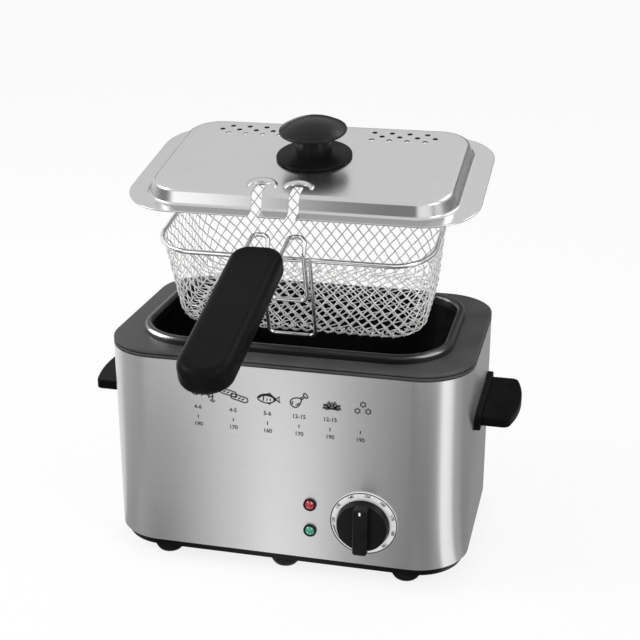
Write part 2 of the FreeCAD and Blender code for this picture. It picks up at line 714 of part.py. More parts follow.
def lid_knob():
    """Mushroom knob: a stem, a thin-edged cap with a crown, and a blind screw hole."""
    stem = KNOB_STEM_RADIUS
    neck = KNOB_STEM_HEIGHT
    edge = neck + KNOB_CAP_EDGE
    crown = edge + KNOB_CAP_CROWN
    out = KNOB_CAP_RADIUS
    bore = KNOB_SCREW_RADIUS + HOLE_FIT
    lip = out - KNOB_CAP_EDGE / 2
    bulge = out, neck + KNOB_CAP_EDGE / 2
    profile = [line((bore, 0), (stem, 0)), line((stem, 0), (stem, neck)), line((stem, neck), (lip, neck)),
               arc((lip, neck), bulge, (lip, edge)), dome(lip, edge, KNOB_CAP_CROWN),
               line((0, crown), (0, KNOB_SCREW_DEPTH)),
               line((0, KNOB_SCREW_DEPTH), (bore, KNOB_SCREW_DEPTH)),
               line((bore, KNOB_SCREW_DEPTH), (bore, 0))]
    return revolved(profile, Vector(0, KNOB_SETBACK, PANEL_HIGH + KNOB_DISC_HEIGHT), Vector(0, 0, 1))


def knob_washer():
    """Washer under the lid panel."""
    top = Vector(0, KNOB_SETBACK, PANEL_UNDER)
    ring = rod(WASHER_RADIUS, top, top - Vector(0, 0, WASHER_SHEET))
    return ring.cut(rod(KNOB_SCREW_RADIUS + HOLE_FIT, top, top - Vector(0, 0, WASHER_SHEET)))


def knob_screw():
    """Screw from under the lid into the knob."""
    seat = Vector(0, KNOB_SETBACK, PANEL_UNDER - WASHER_SHEET)
    tip = PANEL_HIGH + KNOB_DISC_HEIGHT + KNOB_SCREW_DEPTH - SEAT_GAP
    head = rod(KNOB_SCREW_HEAD_RADIUS, seat, seat - Vector(0, 0, KNOB_SCREW_HEAD))
    return head.fuse(rod(KNOB_SCREW_RADIUS, seat, Vector(0, KNOB_SETBACK, tip)))


def corner_points():
    """Places of the four tie screws, tucked into the corners of the casing."""
    reach = BODY_CORNER - BAND_INSET - BAND_TAPER - TIE_EDGE - TIE_HEAD_RADIUS
    diagonal = reach * math.sqrt(0.5)
    x = HALF_WIDTH - BODY_CORNER + diagonal
    y = HALF_DEPTH - BODY_CORNER + diagonal
    return [(side_x * x, side_y * y) for side_x in (-1, 1) for side_y in (-1, 1)]


def side_screw_points():
    """Places of the screws that hold the side handles, as side, y and z."""
    z = (HANDLE_PLATE_LOW + HANDLE_PLATE_HIGH) / 2
    return [(side, half * SIDE_SCREW_SPACING / 2, z) for side in (-1, 1) for half in (-1, 1)]


def panel_screw_points():
    """Places of the two screws behind the control knob, as x and z."""
    return [(DIAL_X + half * PANEL_SCREW_SPACING / 2, DIAL_Z) for half in (-1, 1)]


def lamp_points():
    """Places of the two indicator lamps by name, as x and z."""
    return {"red": (LAMP_X, LAMP_UPPER_Z), "green": (LAMP_X, LAMP_LOWER_Z)}


def outer_shell():
    """Wrapped sheet casing, with holes for the controls, the handles and the cord gland."""
    wall = block(HALF_WIDTH, HALF_DEPTH, BODY_CORNER, SHELL_LOW, SHELL_HIGH)
    wall = wall.cut(block(SIDE_INSIDE, HALF_DEPTH - SHELL_SHEET, BODY_CORNER - SHELL_SHEET,
                          SHELL_LOW, SHELL_HIGH))
    through = 4 * SHELL_SHEET
    front = -HALF_DEPTH - SHELL_SHEET
    shaft = Vector(DIAL_X, front, DIAL_Z)
    holes = [rod(SHAFT_RADIUS + SHAFT_ROOM, shaft, shaft + Vector(0, through, 0))]
    for x, z in panel_screw_points():
        holes.append(rod(PANEL_SCREW_RADIUS + HOLE_FIT, Vector(x, front, z), Vector(x, front + through, z)))
    for x, z in lamp_points().values():
        holes.append(rod(LAMP_BODY_RADIUS + HOLE_FIT, Vector(x, front, z), Vector(x, front + through, z)))
    for side, y, z in side_screw_points():
        inside = Vector(side * (SIDE_INSIDE - SHELL_SHEET), y, z)
        holes.append(rod(SIDE_SCREW_RADIUS + HOLE_FIT, inside, inside + Vector(side * through, 0, 0)))
    rear = Vector(GLAND_X, HALF_DEPTH + SHELL_SHEET, GLAND_Z)
    holes.append(rod(GLAND_BODY_RADIUS + HOLE_FIT, rear, rear - Vector(0, through, 0)))
    return wall.cut(holes)


def top_bezel():
    """Moulded top ring with two grooves round its edge, a locating skirt and four screw bosses."""
    edge_low = SHELL_HIGH + BEZEL_SEAM
    edge_high = edge_low + BEZEL_EDGE
    plate_low = edge_high + BEZEL_GROOVE
    edge = block(HALF_WIDTH, HALF_DEPTH, BODY_CORNER, edge_low, edge_high)
    waist = block(HALF_WIDTH - BEZEL_GROOVE_DEPTH, HALF_DEPTH - BEZEL_GROOVE_DEPTH,
                  BODY_CORNER - BEZEL_GROOVE_DEPTH, SHELL_HIGH, plate_low)
    plate = block(HALF_WIDTH, HALF_DEPTH, BODY_CORNER, plate_low, BEZEL_HIGH)
    plate = fillet_where(plate, BEZEL_ROUND, level_edges(BEZEL_HIGH))
    inset = SHELL_SHEET + SHELL_FIT
    inner = inset + BEZEL_SKIRT_WALL
    skirt = block(HALF_WIDTH - inset, HALF_DEPTH - inset, BODY_CORNER - inset,
                  SHELL_HIGH - BEZEL_SKIRT_DEPTH, SHELL_HIGH)
    skirt = skirt.cut(block(HALF_WIDTH - inner, HALF_DEPTH - inner, BODY_CORNER - inner,
                            SHELL_HIGH - BEZEL_SKIRT_DEPTH, SHELL_HIGH))
    bosses = [rod(BOSS_RADIUS, Vector(x, y, SHELL_HIGH - BOSS_DEPTH), Vector(x, y, SHELL_HIGH))
              for x, y in corner_points()]
    ring = edge.fuse([waist, plate, skirt] + bosses)
    fit = POT_WALL + POT_FIT
    opening = block(MOUTH_X + fit, MOUTH_Y + fit, POT_CORNER + fit, SHELL_HIGH - BOSS_DEPTH, BEZEL_HIGH)
    holes = [rod(TIE_RADIUS + HOLE_FIT, Vector(x, y, SHELL_HIGH - BOSS_DEPTH), Vector(x, y, SHELL_HIGH))
             for x, y in corner_points()]
    return ring.cut([opening] + holes).removeSplitter()


def within_mouth(edge):
    """Test for edges that lie inside the pot's mouth, seen from above."""
    box = edge.BoundBox
    reach_x = max(box.XMax, -box.XMin)
    reach_y = max(box.YMax, -box.YMin)
    return reach_x < MOUTH_X + POT_FIT and reach_y < MOUTH_Y + POT_FIT


def oil_pot():
    """Drawn pot with drafted walls, a rounded floor and a rolled lip that hangs on the top ring."""
    low_x = MOUTH_X - POT_DRAFT
    low_y = MOUTH_Y - POT_DRAFT
    low_corner = POT_CORNER - POT_DRAFT
    inner = frustum((low_x, low_y, low_corner, POT_FLOOR_HIGH), (MOUTH_X, MOUTH_Y, POT_CORNER, POT_HIGH))
    outer = frustum((low_x + POT_WALL, low_y + POT_WALL, low_corner + POT_WALL, POT_UNDER),
                    (MOUTH_X + POT_WALL, MOUTH_Y + POT_WALL, POT_CORNER + POT_WALL, POT_HIGH))
    inner = fillet_where(inner, POT_FLOOR_ROUND, level_edges(POT_FLOOR_HIGH))
    outer = fillet_where(outer, POT_FLOOR_ROUND + POT_WALL, level_edges(POT_UNDER))
    lip = block(MOUTH_X + LIP_WIDTH, MOUTH_Y + LIP_WIDTH, POT_CORNER + LIP_WIDTH, BEZEL_HIGH, POT_HIGH)
    lip = fillet_where(lip, LIP_ROUND, level_edges(POT_HIGH))
    pot = outer.fuse(lip).cut(inner).removeSplitter()
    at_top = level_edges(POT_HIGH)
    return fillet_where(pot, LIP_INNER_ROUND, lambda edge: at_top(edge) and within_mouth(edge))


def base_tray():
    """Moulded base: a band drawn in under the casing, a rim inside it, a vented floor and foot holes."""
    foot_inset = BAND_INSET + BAND_TAPER
    band = frustum((HALF_WIDTH - foot_inset, HALF_DEPTH - foot_inset, BODY_CORNER - foot_inset, FOOT_HEIGHT),
                   (HALF_WIDTH - BAND_INSET, HALF_DEPTH - BAND_INSET, BODY_CORNER - BAND_INSET, SHELL_LOW))
    inset = SHELL_SHEET + SHELL_FIT
    rim = block(HALF_WIDTH - inset, HALF_DEPTH - inset, BODY_CORNER - inset,
                SHELL_LOW, SHELL_LOW + TRAY_RIM_HEIGHT)
    inner = inset + TRAY_WALL
    well = block(HALF_WIDTH - inner, HALF_DEPTH - inner, BODY_CORNER - inner,
                 TRAY_FLOOR_TOP, SHELL_LOW + TRAY_RIM_HEIGHT)
    tray = band.fuse(rim).cut(well)
    posts = [rod(BOSS_RADIUS, Vector(x, y, TRAY_FLOOR_TOP), Vector(x, y, SHELL_LOW + TRAY_RIM_HEIGHT))
             for x, y in corner_points()]
    tray = tray.fuse(posts)
    low = FOOT_HEIGHT - TRAY_FLOOR
    deep = 3 * TRAY_FLOOR
    cutters = [Part.makeCylinder(FOOT_STEM_RADIUS + HOLE_FIT, deep, Vector(x, y, low))
               for x, y in foot_points().values()]
    for x, y in corner_points():
        seat = Vector(x, y, FOOT_HEIGHT + TIE_HEAD_HEIGHT)
        cutters.append(rod(TIE_RADIUS + HOLE_FIT, Vector(x, y, low), Vector(x, y, SHELL_HIGH)))
        cutters.append(rod(TIE_HEAD_RADIUS + HOLE_FIT, Vector(x, y, low), seat))
    for row in range(VENT_ROWS):
        y = (row - (VENT_ROWS - 1) / 2) * VENT_PITCH
        for side in (-1, 0, 1):
            x = side * (VENT_LENGTH + VENT_PITCH)
            vent = block(VENT_LENGTH / 2, VENT_WIDTH / 2, VENT_ROUND, low, low + deep)
            vent.translate(Vector(x, y, 0))
            cutters.append(vent)
    return tray.cut(cutters).removeSplitter()


def foot_points():
    """Places of the six feet by name."""
    x = HALF_WIDTH - FOOT_SIDE_INSET
    y = HALF_DEPTH - FOOT_EDGE_INSET
    columns = {"left": -x, "middle": 0.0, "right": x}
    rows = {"front": -y, "rear": y}
    return {f"{row}_{column}": (columns[column], rows[row]) for row in rows for column in columns}


def foot(x, y):
    """Rubber foot with a flat tread and a barbed stem pushed through the base."""
    tread = FOOT_TREAD_RADIUS
    wide = FOOT_TOP_RADIUS
    neck = FOOT_STEM_RADIUS
    barb = FOOT_BARB_RADIUS
    bulge = (tread + wide) / 2 + FOOT_BULGE, FOOT_BULGE_HEIGHT
    top = TRAY_FLOOR_TOP + FOOT_BARB_HEIGHT
    profile = [line((0, 0), (tread, 0)), arc((tread, 0), bulge, (wide, FOOT_HEIGHT)),
               line((wide, FOOT_HEIGHT), (neck, FOOT_HEIGHT)),
               line((neck, FOOT_HEIGHT), (neck, TRAY_FLOOR_TOP)),
               line((neck, TRAY_FLOOR_TOP), (barb, TRAY_FLOOR_TOP)),
               line((barb, TRAY_FLOOR_TOP), (neck, top)),
               line((neck, top), (0, top)), line((0, top), (0, 0))]
    return revolved(profile, Vector(x, y, 0), Vector(0, 0, 1))


def tie_screws():
    """Four long screws that clamp the casing between the base and the top ring."""
    screws = []
    for x, y in corner_points():
        seat = FOOT_HEIGHT + TIE_HEAD_HEIGHT
        head = rod(TIE_HEAD_RADIUS, Vector(x, y, FOOT_HEIGHT), Vector(x, y, seat))
        screws.append(head.fuse(rod(TIE_RADIUS, Vector(x, y, seat), Vector(x, y, SHELL_HIGH - SEAT_GAP))))
    return Part.makeCompound(screws)


def handle_shelf(inset):
    """Bowed shelf of the right-hand side handle, drawn in by a wall on every free side."""
    root = HALF_WIDTH + HANDLE_PLATE
    half = HANDLE_HALF - inset
    end = root + HANDLE_END_REACH - inset
    front = Vector(end, -half, HANDLE_UNDER)
    rear = Vector(end, half, HANDLE_UNDER)
    bow = Part.Arc(front, Vector(root + HANDLE_REACH - inset, 0, HANDLE_UNDER), rear).toShape()
    corners = [rear, Vector(root, half, HANDLE_UNDER), Vector(root, -half, HANDLE_UNDER), front]
    sides = Part.makePolygon(corners)
    plan = Part.Face(Part.Wire([bow] + sides.Edges))
    shelf = plan.extrude(Vector(0, 0, HANDLE_THICKNESS - inset))
    return fillet_where(shelf, HANDLE_CORNER - inset, lambda e: abs(e.CenterOfMass.x - end) < 1e-4
                        and e.BoundBox.ZLength > (HANDLE_THICKNESS - inset) / 2)


def side_handle(side):
    """Moulded side handle: a back plate and a bowed shelf that is hollow underneath for the fingers."""
    middle = (HANDLE_PLATE_LOW + HANDLE_PLATE_HIGH) / 2
    tall = (HANDLE_PLATE_HIGH - HANDLE_PLATE_LOW) / 2
    plate = block(tall, HANDLE_PLATE_HALF, HANDLE_PLATE_CORNER, 0, HANDLE_PLATE)
    plate = fillet_where(plate, HANDLE_PLATE_EDGE, level_edges(HANDLE_PLATE))
    plate.rotate(Vector(), Vector(0, 1, 0), 90)
    plate.translate(Vector(HALF_WIDTH, 0, middle))
    at_top = level_edges(HANDLE_TOP)
    root = HALF_WIDTH + HANDLE_PLATE
    shelf = fillet_where(handle_shelf(0), HANDLE_EDGE, lambda e: at_top(e) and e.BoundBox.XMax > root + 1e-4)
    handle = plate.fuse(shelf).cut(handle_shelf(HANDLE_WALL))
    for _, y, z in side_screw_points()[2:]:
        back = Vector(HALF_WIDTH, y, z)
        bottom = back + Vector(SIDE_SCREW_BITE + SEAT_GAP, 0, 0)
        handle = handle.cut(rod(SIDE_SCREW_RADIUS + HOLE_FIT, back, bottom))
    handle = handle.removeSplitter()
    return handle if side > 0 else handle.mirror(Vector(), Vector(1, 0, 0))


def handle_screws():
    """Four screws from inside the casing into the side handles."""
    screws = []
    for side, y, z in side_screw_points():
        seat = Vector(side * SIDE_INSIDE, y, z)
        outward = Vector(side, 0, 0)
        head = rod(SIDE_SCREW_HEAD_RADIUS, seat, seat - outward * SIDE_SCREW_HEAD)
        tip = seat + outward * (SHELL_SHEET + SIDE_SCREW_BITE)
        screws.append(head.fuse(rod(SIDE_SCREW_RADIUS, seat, tip)))
    return Part.makeCompound(screws)


def dial_ring():
    """Flat printed ring behind the control knob."""
    front = Vector(DIAL_X, -HALF_DEPTH, DIAL_Z)
    face = front - Vector(0, DIAL_RING_SHEET, 0)
    ring = rod(DIAL_RING_RADIUS, front, face).cut(rod(DIAL_RING_BORE + PANEL_SCREW_HEAD_RADIUS, front, face))
    return ring


def knob_back():
    """Y of the control knob's back face, clear of the ring and the screw heads."""
    return -HALF_DEPTH - max(DIAL_RING_SHEET, PANEL_SCREW_HEAD) - KNOB_GAP


def control_knob():
    """Round control knob with a bar grip across it and a blind shaft hole."""
    back = Vector(DIAL_X, knob_back(), DIAL_Z)
    ahead = Vector(0, -1, 0)
    base = Part.makeCone(DIAL_KNOB_RADIUS, DIAL_KNOB_RADIUS - DIAL_KNOB_TAPER, DIAL_KNOB_BASE, back, ahead)
    long = DIAL_KNOB_RADIUS - DIAL_KNOB_TAPER
    bar = block(DIAL_GRIP_WIDTH / 2, long, DIAL_GRIP_ROUND, 0, DIAL_KNOB_BASE + DIAL_GRIP_DEPTH)
    bar = fillet_where(bar, DIAL_GRIP_ROUND / 2, level_edges(DIAL_KNOB_BASE + DIAL_GRIP_DEPTH))
    bar.rotate(Vector(), Vector(1, 0, 0), 90)
    bar.translate(back)
    envelope = Part.makeCylinder(long, DIAL_KNOB_BASE + DIAL_GRIP_DEPTH, back, ahead)
    knob = base.fuse(bar.common(envelope))
    return knob.cut(rod(SHAFT_RADIUS + HOLE_FIT, back, back + ahead * SHAFT_IN_KNOB)).removeSplitter()


def thermostat_shaft():
    """Round shaft from the thermostat into the control knob."""
    start = Vector(DIAL_X, knob_back() - SHAFT_IN_KNOB + SEAT_GAP, DIAL_Z)
    return rod(SHAFT_RADIUS, start, Vector(DIAL_X, thermostat_front() + SHAFT_IN_BODY, DIAL_Z))


def thermostat_front():
    """Y of the front of the thermostat's mounting plate."""
    return FRONT_INSIDE


def thermostat_body():
    """Thermostat: a mounting plate on the casing and a housing with the shaft's bore."""
    margin = THERMOSTAT_PLATE_MARGIN
    plate = block(THERMOSTAT_WIDTH / 2 + margin, THERMOSTAT_HEIGHT / 2, THERMOSTAT_ROUND, 0, THERMOSTAT_PLATE)
    housing = block(THERMOSTAT_WIDTH / 2, THERMOSTAT_HEIGHT / 2, THERMOSTAT_ROUND, 0, THERMOSTAT_DEPTH)
    body = plate.fuse(housing)
    body.rotate(Vector(), Vector(1, 0, 0), -90)
    front = Vector(DIAL_X, thermostat_front(), DIAL_Z)
    body.translate(front)
    bore = rod(SHAFT_RADIUS + SHAFT_FIT, front, front + Vector(0, SHAFT_IN_BODY + SEAT_GAP, 0))
    bottom = thermostat_front() + PANEL_SCREW_DEPTH + SEAT_GAP
    holes = [rod(PANEL_SCREW_RADIUS + HOLE_FIT, Vector(x, thermostat_front(), z), Vector(x, bottom, z))
             for x, z in panel_screw_points()]
    return body.cut([bore] + holes).removeSplitter()


def panel_screws():
    """Two screws behind the control knob that hold the thermostat."""
    screws = []
    for x, z in panel_screw_points():
        face = Vector(x, -HALF_DEPTH, z)
        head = rod(PANEL_SCREW_HEAD_RADIUS, face, face - Vector(0, PANEL_SCREW_HEAD, 0))
        tip = face + Vector(0, SHELL_SHEET + PANEL_SCREW_DEPTH, 0)
        screws.append(head.fuse(rod(PANEL_SCREW_RADIUS, face, tip)))
    return Part.makeCompound(screws)


def lamp_holder(x, z):
    """Dark lamp holder: a collar on the casing and a body behind it, open for the lens."""
    face = Vector(x, -HALF_DEPTH, z)
    out = Vector(0, -1, 0)
    collar = rod(LAMP_BEZEL_RADIUS, face, face + out * LAMP_BEZEL_SHEET)
    body = rod(LAMP_BODY_RADIUS, face, face - out * LAMP_BODY_LENGTH)
    well = rod(LAMP_LENS_RADIUS + HOLE_FIT, face + out * LAMP_BEZEL_SHEET, face - out * LAMP_LENS_DEPTH)
    return collar.fuse(body).cut(well).removeSplitter()


def lamp_lens(x, z):
    """Domed lamp lens seated in its holder."""
    foot_y = -HALF_DEPTH + LAMP_LENS_DEPTH
    straight = LAMP_LENS_DEPTH + LAMP_BEZEL_SHEET
    tip = straight + LAMP_LENS_CROWN
    out = LAMP_LENS_RADIUS
    profile = [line((0, 0), (out, 0)), line((out, 0), (out, straight)), dome(out, straight, LAMP_LENS_CROWN),
               line((0, tip), (0, 0))]
    return revolved(profile, Vector(x, foot_y, z), Vector(0, -1, 0))


def heat_spreader():
    """Aluminium plate under the pot, with blind holes for the clamp screws."""
    plate = block(SPREADER_WIDTH / 2, SPREADER_DEPTH / 2, SPREADER_CORNER, SPREADER_LOW, POT_UNDER)
    holes = [rod(CLAMP_SCREW_RADIUS + HOLE_FIT, Vector(side * CLAMP_X, 0, SPREADER_LOW),
                 Vector(side * CLAMP_X, 0, SPREADER_LOW + CLAMP_SCREW_BITE + SEAT_GAP)) for side in (-1, 1)]
    return plate.cut(holes)


def heating_element():
    """Tubular heater: one loop under the plate, with both tails turned down."""
    half = ELEMENT_RUN / 2
    side = ELEMENT_SPACING / 2
    low = ELEMENT_Z - ELEMENT_TAIL
    points = [Vector(half, -side, low), Vector(half, -side, ELEMENT_Z), Vector(-half, -side, ELEMENT_Z),
              Vector(-half, side, ELEMENT_Z), Vector(half, side, ELEMENT_Z), Vector(half, side, low)]
    return bent_wire(points, ELEMENT_BEND, ELEMENT_RADIUS)


def heater_clamps():
    """Two straps that hold the heater against the plate."""
    straps = []
    for side in (-1, 1):
        strap = block(CLAMP_WIDTH / 2, CLAMP_SPAN / 2, CLAMP_WIDTH / 4, CLAMP_HIGH - CLAMP_SHEET, CLAMP_HIGH)
        strap = strap.cut(Part.makeCylinder(CLAMP_SCREW_RADIUS + HOLE_FIT, 3 * CLAMP_SHEET,
                                            Vector(0, 0, CLAMP_HIGH - 2 * CLAMP_SHEET)))
        strap.translate(Vector(side * CLAMP_X, 0, 0))
        straps.append(strap)
    return Part.makeCompound(straps)


def clamp_screws():
    """Screws of the heater straps."""
    screws = []
    for side in (-1, 1):
        seat = Vector(side * CLAMP_X, 0, CLAMP_HIGH - CLAMP_SHEET)
        head = rod(CLAMP_SCREW_HEAD_RADIUS, seat, seat - Vector(0, 0, CLAMP_SCREW_HEAD))
        tip = Vector(side * CLAMP_X, 0, SPREADER_LOW + CLAMP_SCREW_BITE)
        screws.append(head.fuse(rod(CLAMP_SCREW_RADIUS, seat, tip)))
    return Part.makeCompound(screws)


def thermal_cutout():
    """Safety cut-out: a round switch on the plate with two flat tags."""
    top = Vector(CUTOUT_X, 0, SPREADER_LOW)
    can = rod(CUTOUT_RADIUS, top, top - Vector(0, 0, CUTOUT_HEIGHT))
    tag = CUTOUT_RADIUS / 2
    low = SPREADER_LOW - CUTOUT_HEIGHT - tag
    tags = []
    for side in (-1, 1):
        corner = Vector(CUTOUT_X - tag / 2, side * tag - SHIELD_SHEET / 2, low)
        tags.append(Part.makeBox(tag, SHIELD_SHEET, tag, corner))
    return can.fuse(tags)


def bulb_line():
    """Y and z of the thermostat's sensing bulb under the plate."""
    return -SPREADER_DEPTH / 2 + BULB_INSET, SPREADER_LOW - CONTACT_GAP - BULB_RADIUS


def sensing_bulb():
    """Sensing bulb under the plate and the thin capillary down to the thermostat."""
    y, z = bulb_line()
    start = Vector(-BULB_LENGTH / 2, y, z)
    end = Vector(BULB_LENGTH / 2, y, z)
    top = DIAL_Z + THERMOSTAT_HEIGHT / 2
    entry_y = thermostat_front() + THERMOSTAT_DEPTH / 2
    route = [end - Vector(BULB_RADIUS, 0, 0), end + Vector(CAPILLARY_LEAD, 0, 0),
             Vector(DIAL_X, entry_y, z - CAPILLARY_LEAD), Vector(DIAL_X, entry_y, top)]
    return rod(BULB_RADIUS, start, end).fuse(bent_wire(route, CAPILLARY_BEND, CAPILLARY_RADIUS))


def heat_shield():
    """Sheet tray under the heater on four legs that stand on the base."""
    half_x = SHIELD_WIDTH / 2
    half_y = SHIELD_DEPTH / 2
    sheet = block(half_x, half_y, SHIELD_CORNER, SHIELD_Z, SHIELD_Z + SHIELD_SHEET)
    legs = []
    for side_x in (-1, 1):
        for side_y in (-1, 1):
            x = side_x * (half_x - SHIELD_LEG_INSET - SHIELD_LEG)
            y = side_y * (half_y - SHIELD_LEG_INSET)
            corner = Vector(x - SHIELD_LEG / 2, y - SHIELD_SHEET / 2, TRAY_FLOOR_TOP)
            legs.append(Part.makeBox(SHIELD_LEG, SHIELD_SHEET, SHIELD_Z - TRAY_FLOOR_TOP, corner))
    room = ELEMENT_RADIUS + SHIELD_HOLE_ROOM
    tails = [Vector(ELEMENT_RUN / 2, side * ELEMENT_SPACING / 2, SHIELD_Z - SHIELD_SHEET) for side in (-1, 1)]
    holes = [Part.makeCylinder(room, 3 * SHIELD_SHEET, tail) for tail in tails]
    return sheet.fuse(legs).cut(holes).removeSplitter()


def terminal_block():
    """Insulating terminal block on the base, with a well for each wire."""
    strip = block(TERMINAL_LENGTH / 2, TERMINAL_DEPTH / 2, TERMINAL_DEPTH / 8,
                  TRAY_FLOOR_TOP, TRAY_FLOOR_TOP + TERMINAL_HEIGHT)
    step = TERMINAL_LENGTH / TERMINAL_WAYS
    high = TRAY_FLOOR_TOP + TERMINAL_HEIGHT
    wells = [Part.makeCylinder(TERMINAL_WELL_RADIUS, TERMINAL_WELL_DEPTH,
                               Vector((way - (TERMINAL_WAYS - 1) / 2) * step, 0, high - TERMINAL_WELL_DEPTH))
             for way in range(TERMINAL_WAYS)]
    strip = strip.cut(wells)
    strip.translate(Vector(TERMINAL_X, HALF_DEPTH - TERMINAL_INSET, 0))
    return strip


def cord_gland():
    """Bush in the back of the casing for the mains cord, with an open bore."""
    face = Vector(GLAND_X, HALF_DEPTH, GLAND_Z)
    out = Vector(0, 1, 0)
    bush = rod(GLAND_BODY_RADIUS, face + out * GLAND_FLANGE, face - out * GLAND_INSIDE)
    bush = bush.fuse(rod(GLAND_FLANGE_RADIUS, face, face + out * GLAND_FLANGE))
    return bush.cut(rod(GLAND_BORE, face + out * GLAND_FLANGE, face - out * GLAND_INSIDE)).removeSplitter()


def gland_nut():
    """Six-sided nut that holds the gland from inside."""
    turns = [math.radians(60 * step) for step in range(6)]
    corners = [Vector(GLAND_NUT_RADIUS * math.cos(t), 0, GLAND_NUT_RADIUS * math.sin(t)) for t in turns]
    nut = Part.Face(Part.makePolygon(corners + corners[:1])).extrude(Vector(0, -GLAND_NUT_HEIGHT, 0))
    nut.translate(Vector(GLAND_X, HALF_DEPTH - SHELL_SHEET, GLAND_Z))
    face = Vector(GLAND_X, HALF_DEPTH, GLAND_Z)
    return nut.cut(rod(GLAND_BODY_RADIUS + HOLE_FIT, face, face - Vector(0, 3 * GLAND_NUT_HEIGHT, 0)))


def casing_pieces():
    """Pieces of the standing body, by node name."""
    pieces = {"outer_shell": outer_shell(), "top_bezel": top_bezel(), "oil_pot": oil_pot(),
              "base_tray": base_tray(), "tie_screws": tie_screws()}
    for place, (x, y) in foot_points().items():
        pieces[f"foot_{place}"] = foot(x, y)
    pieces["side_handle_left"] = side_handle(-1)
    pieces["side_handle_right"] = side_handle(1)
    pieces["handle_screws"] = handle_screws()
    pieces["dial_ring"] = dial_ring()
    pieces["panel_screws"] = panel_screws()
    pieces["thermostat_body"] = thermostat_body()
    for colour, (x, z) in lamp_points().items():
        pieces[f"lamp_holder_{colour}"] = lamp_holder(x, z)
        pieces[f"lamp_lens_{colour}"] = lamp_lens(x, z)
    return pieces


def heater_pieces():
    """Pieces of the heater and its wiring, by node name."""
    return {"heat_spreader": heat_spreader(), "heating_element": heating_element(),
            "heater_clamps": heater_clamps(), "clamp_screws": clamp_screws(),
            "thermal_cutout": thermal_cutout(), "sensing_bulb": sensing_bulb(),
            "heat_shield": heat_shield(), "terminal_block": terminal_block(),
            "cord_gland": cord_gland(), "gland_nut": gland_nut()}


def control_pieces():
    """Pieces that turn with the thermostat, by node name."""
    return {"control_knob": control_knob(), "thermostat_shaft": thermostat_shaft()}


def basket_pieces():
    """Pieces of the raised basket, by node name."""
    seated = {"basket_rim": basket_rim(),
              "basket_front_mesh": basket_wall(0), "basket_right_mesh": basket_wall(90),
              "basket_back_mesh": basket_wall(180), "basket_left_mesh": basket_wall(270),
              "basket_corner_mesh": basket_corners(), "basket_floor_mesh": basket_floor(),
              "basket_bracket": basket_bracket(), "handle_wire": handle_wire(), "basket_grip": basket_grip()}
    return {name: raise_basket(shape) for name, shape in seated.items()}


def lid_pieces():
    """Pieces of the raised lid, by node name."""
    closed = {"lid_plate": lid_plate(), "knob_disc": knob_disc(), "lid_knob": lid_knob(),
              "knob_washer": knob_washer(), "knob_screw": knob_screw()}
    return {name: raise_lid(shape) for name, shape in closed.items()}


def main():
    os.makedirs("parts", exist_ok=True)
    for group in (casing_pieces(), heater_pieces(), control_pieces(), basket_pieces(), lid_pieces()):
        for name, shape in group.items():
            if not shape.isValid():
                raise ValueError(f"{name} is not a valid solid")
            shape.exportStep(f"parts/{name}.step")


if __name__ == "__main__":
    main()
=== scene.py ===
"""Looks of a small deep fryer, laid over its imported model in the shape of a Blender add-on."""

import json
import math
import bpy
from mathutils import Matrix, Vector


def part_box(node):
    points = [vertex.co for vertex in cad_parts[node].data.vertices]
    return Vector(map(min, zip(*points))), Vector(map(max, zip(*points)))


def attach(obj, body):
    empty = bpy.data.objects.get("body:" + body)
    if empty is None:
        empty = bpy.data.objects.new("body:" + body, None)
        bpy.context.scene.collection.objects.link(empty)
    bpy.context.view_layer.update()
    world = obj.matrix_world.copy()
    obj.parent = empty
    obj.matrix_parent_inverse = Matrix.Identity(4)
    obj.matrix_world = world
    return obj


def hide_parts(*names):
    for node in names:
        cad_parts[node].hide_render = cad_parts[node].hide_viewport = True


bl_info = {
    "name": "Deep Fryer",
    "version": (1, 0, 0),
    "blender": (4, 5, 0),
    "location": "3D View > Sidebar > Fryer",
    "description": "Weaves the basket, presses the lid, prints the front and finishes a deep fryer",
    "category": "Object",
}

import bpy
from bpy.props import FloatProperty, FloatVectorProperty, IntProperty, PointerProperty
from mathutils import Matrix, Vector

for startup_name in ("Cube", "Light", "Camera"):
    startup_object = bpy.data.objects.get(startup_name)
    if startup_object:
        bpy.data.objects.remove(startup_object)

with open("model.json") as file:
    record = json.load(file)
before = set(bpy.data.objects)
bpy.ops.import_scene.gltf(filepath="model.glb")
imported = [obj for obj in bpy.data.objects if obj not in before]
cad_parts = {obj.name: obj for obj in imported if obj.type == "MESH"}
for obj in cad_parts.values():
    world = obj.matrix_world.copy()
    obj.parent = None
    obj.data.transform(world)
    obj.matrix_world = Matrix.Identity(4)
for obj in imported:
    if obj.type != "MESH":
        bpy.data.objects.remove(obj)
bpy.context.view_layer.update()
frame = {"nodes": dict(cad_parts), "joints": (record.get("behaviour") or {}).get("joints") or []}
NODES = frame["nodes"]
JOINTS = {joint["name"]: joint for joint in frame["joints"]}
MESH_NODES = ("basket_front_mesh", "basket_right_mesh", "basket_back_mesh", "basket_left_mesh",
              "basket_corner_mesh", "basket_floor_mesh")

# Lengths are in metres and angles in degrees, unless a name says otherwise.

# Basket
WIRE_SIDES = 6
STEPS_PER_DIAMOND = 8

# Lid
PANEL_REACH = 2.4  # flange widths from the edge to the flat middle of the panel
UNDER_EDGE_ROUND = 0.3  # sheets
UPPER_EDGE_ROUND = 0.5  # sheets
CUTTER_MARGIN = 0.004
SLOT_EDGE_SLACK = 0.0002
LIP_SINK = 0.0002
LIP_WIDTH = 0.0028
LIP_HEIGHT = 0.0018
LIP_STEPS = 25
LIP_SIDES = 10
LIP_START, LIP_SWEEP = -8, 196

# Pot
POT_LIP_DEPTH = 0.006
POT_LIP_BLEND = 0.002

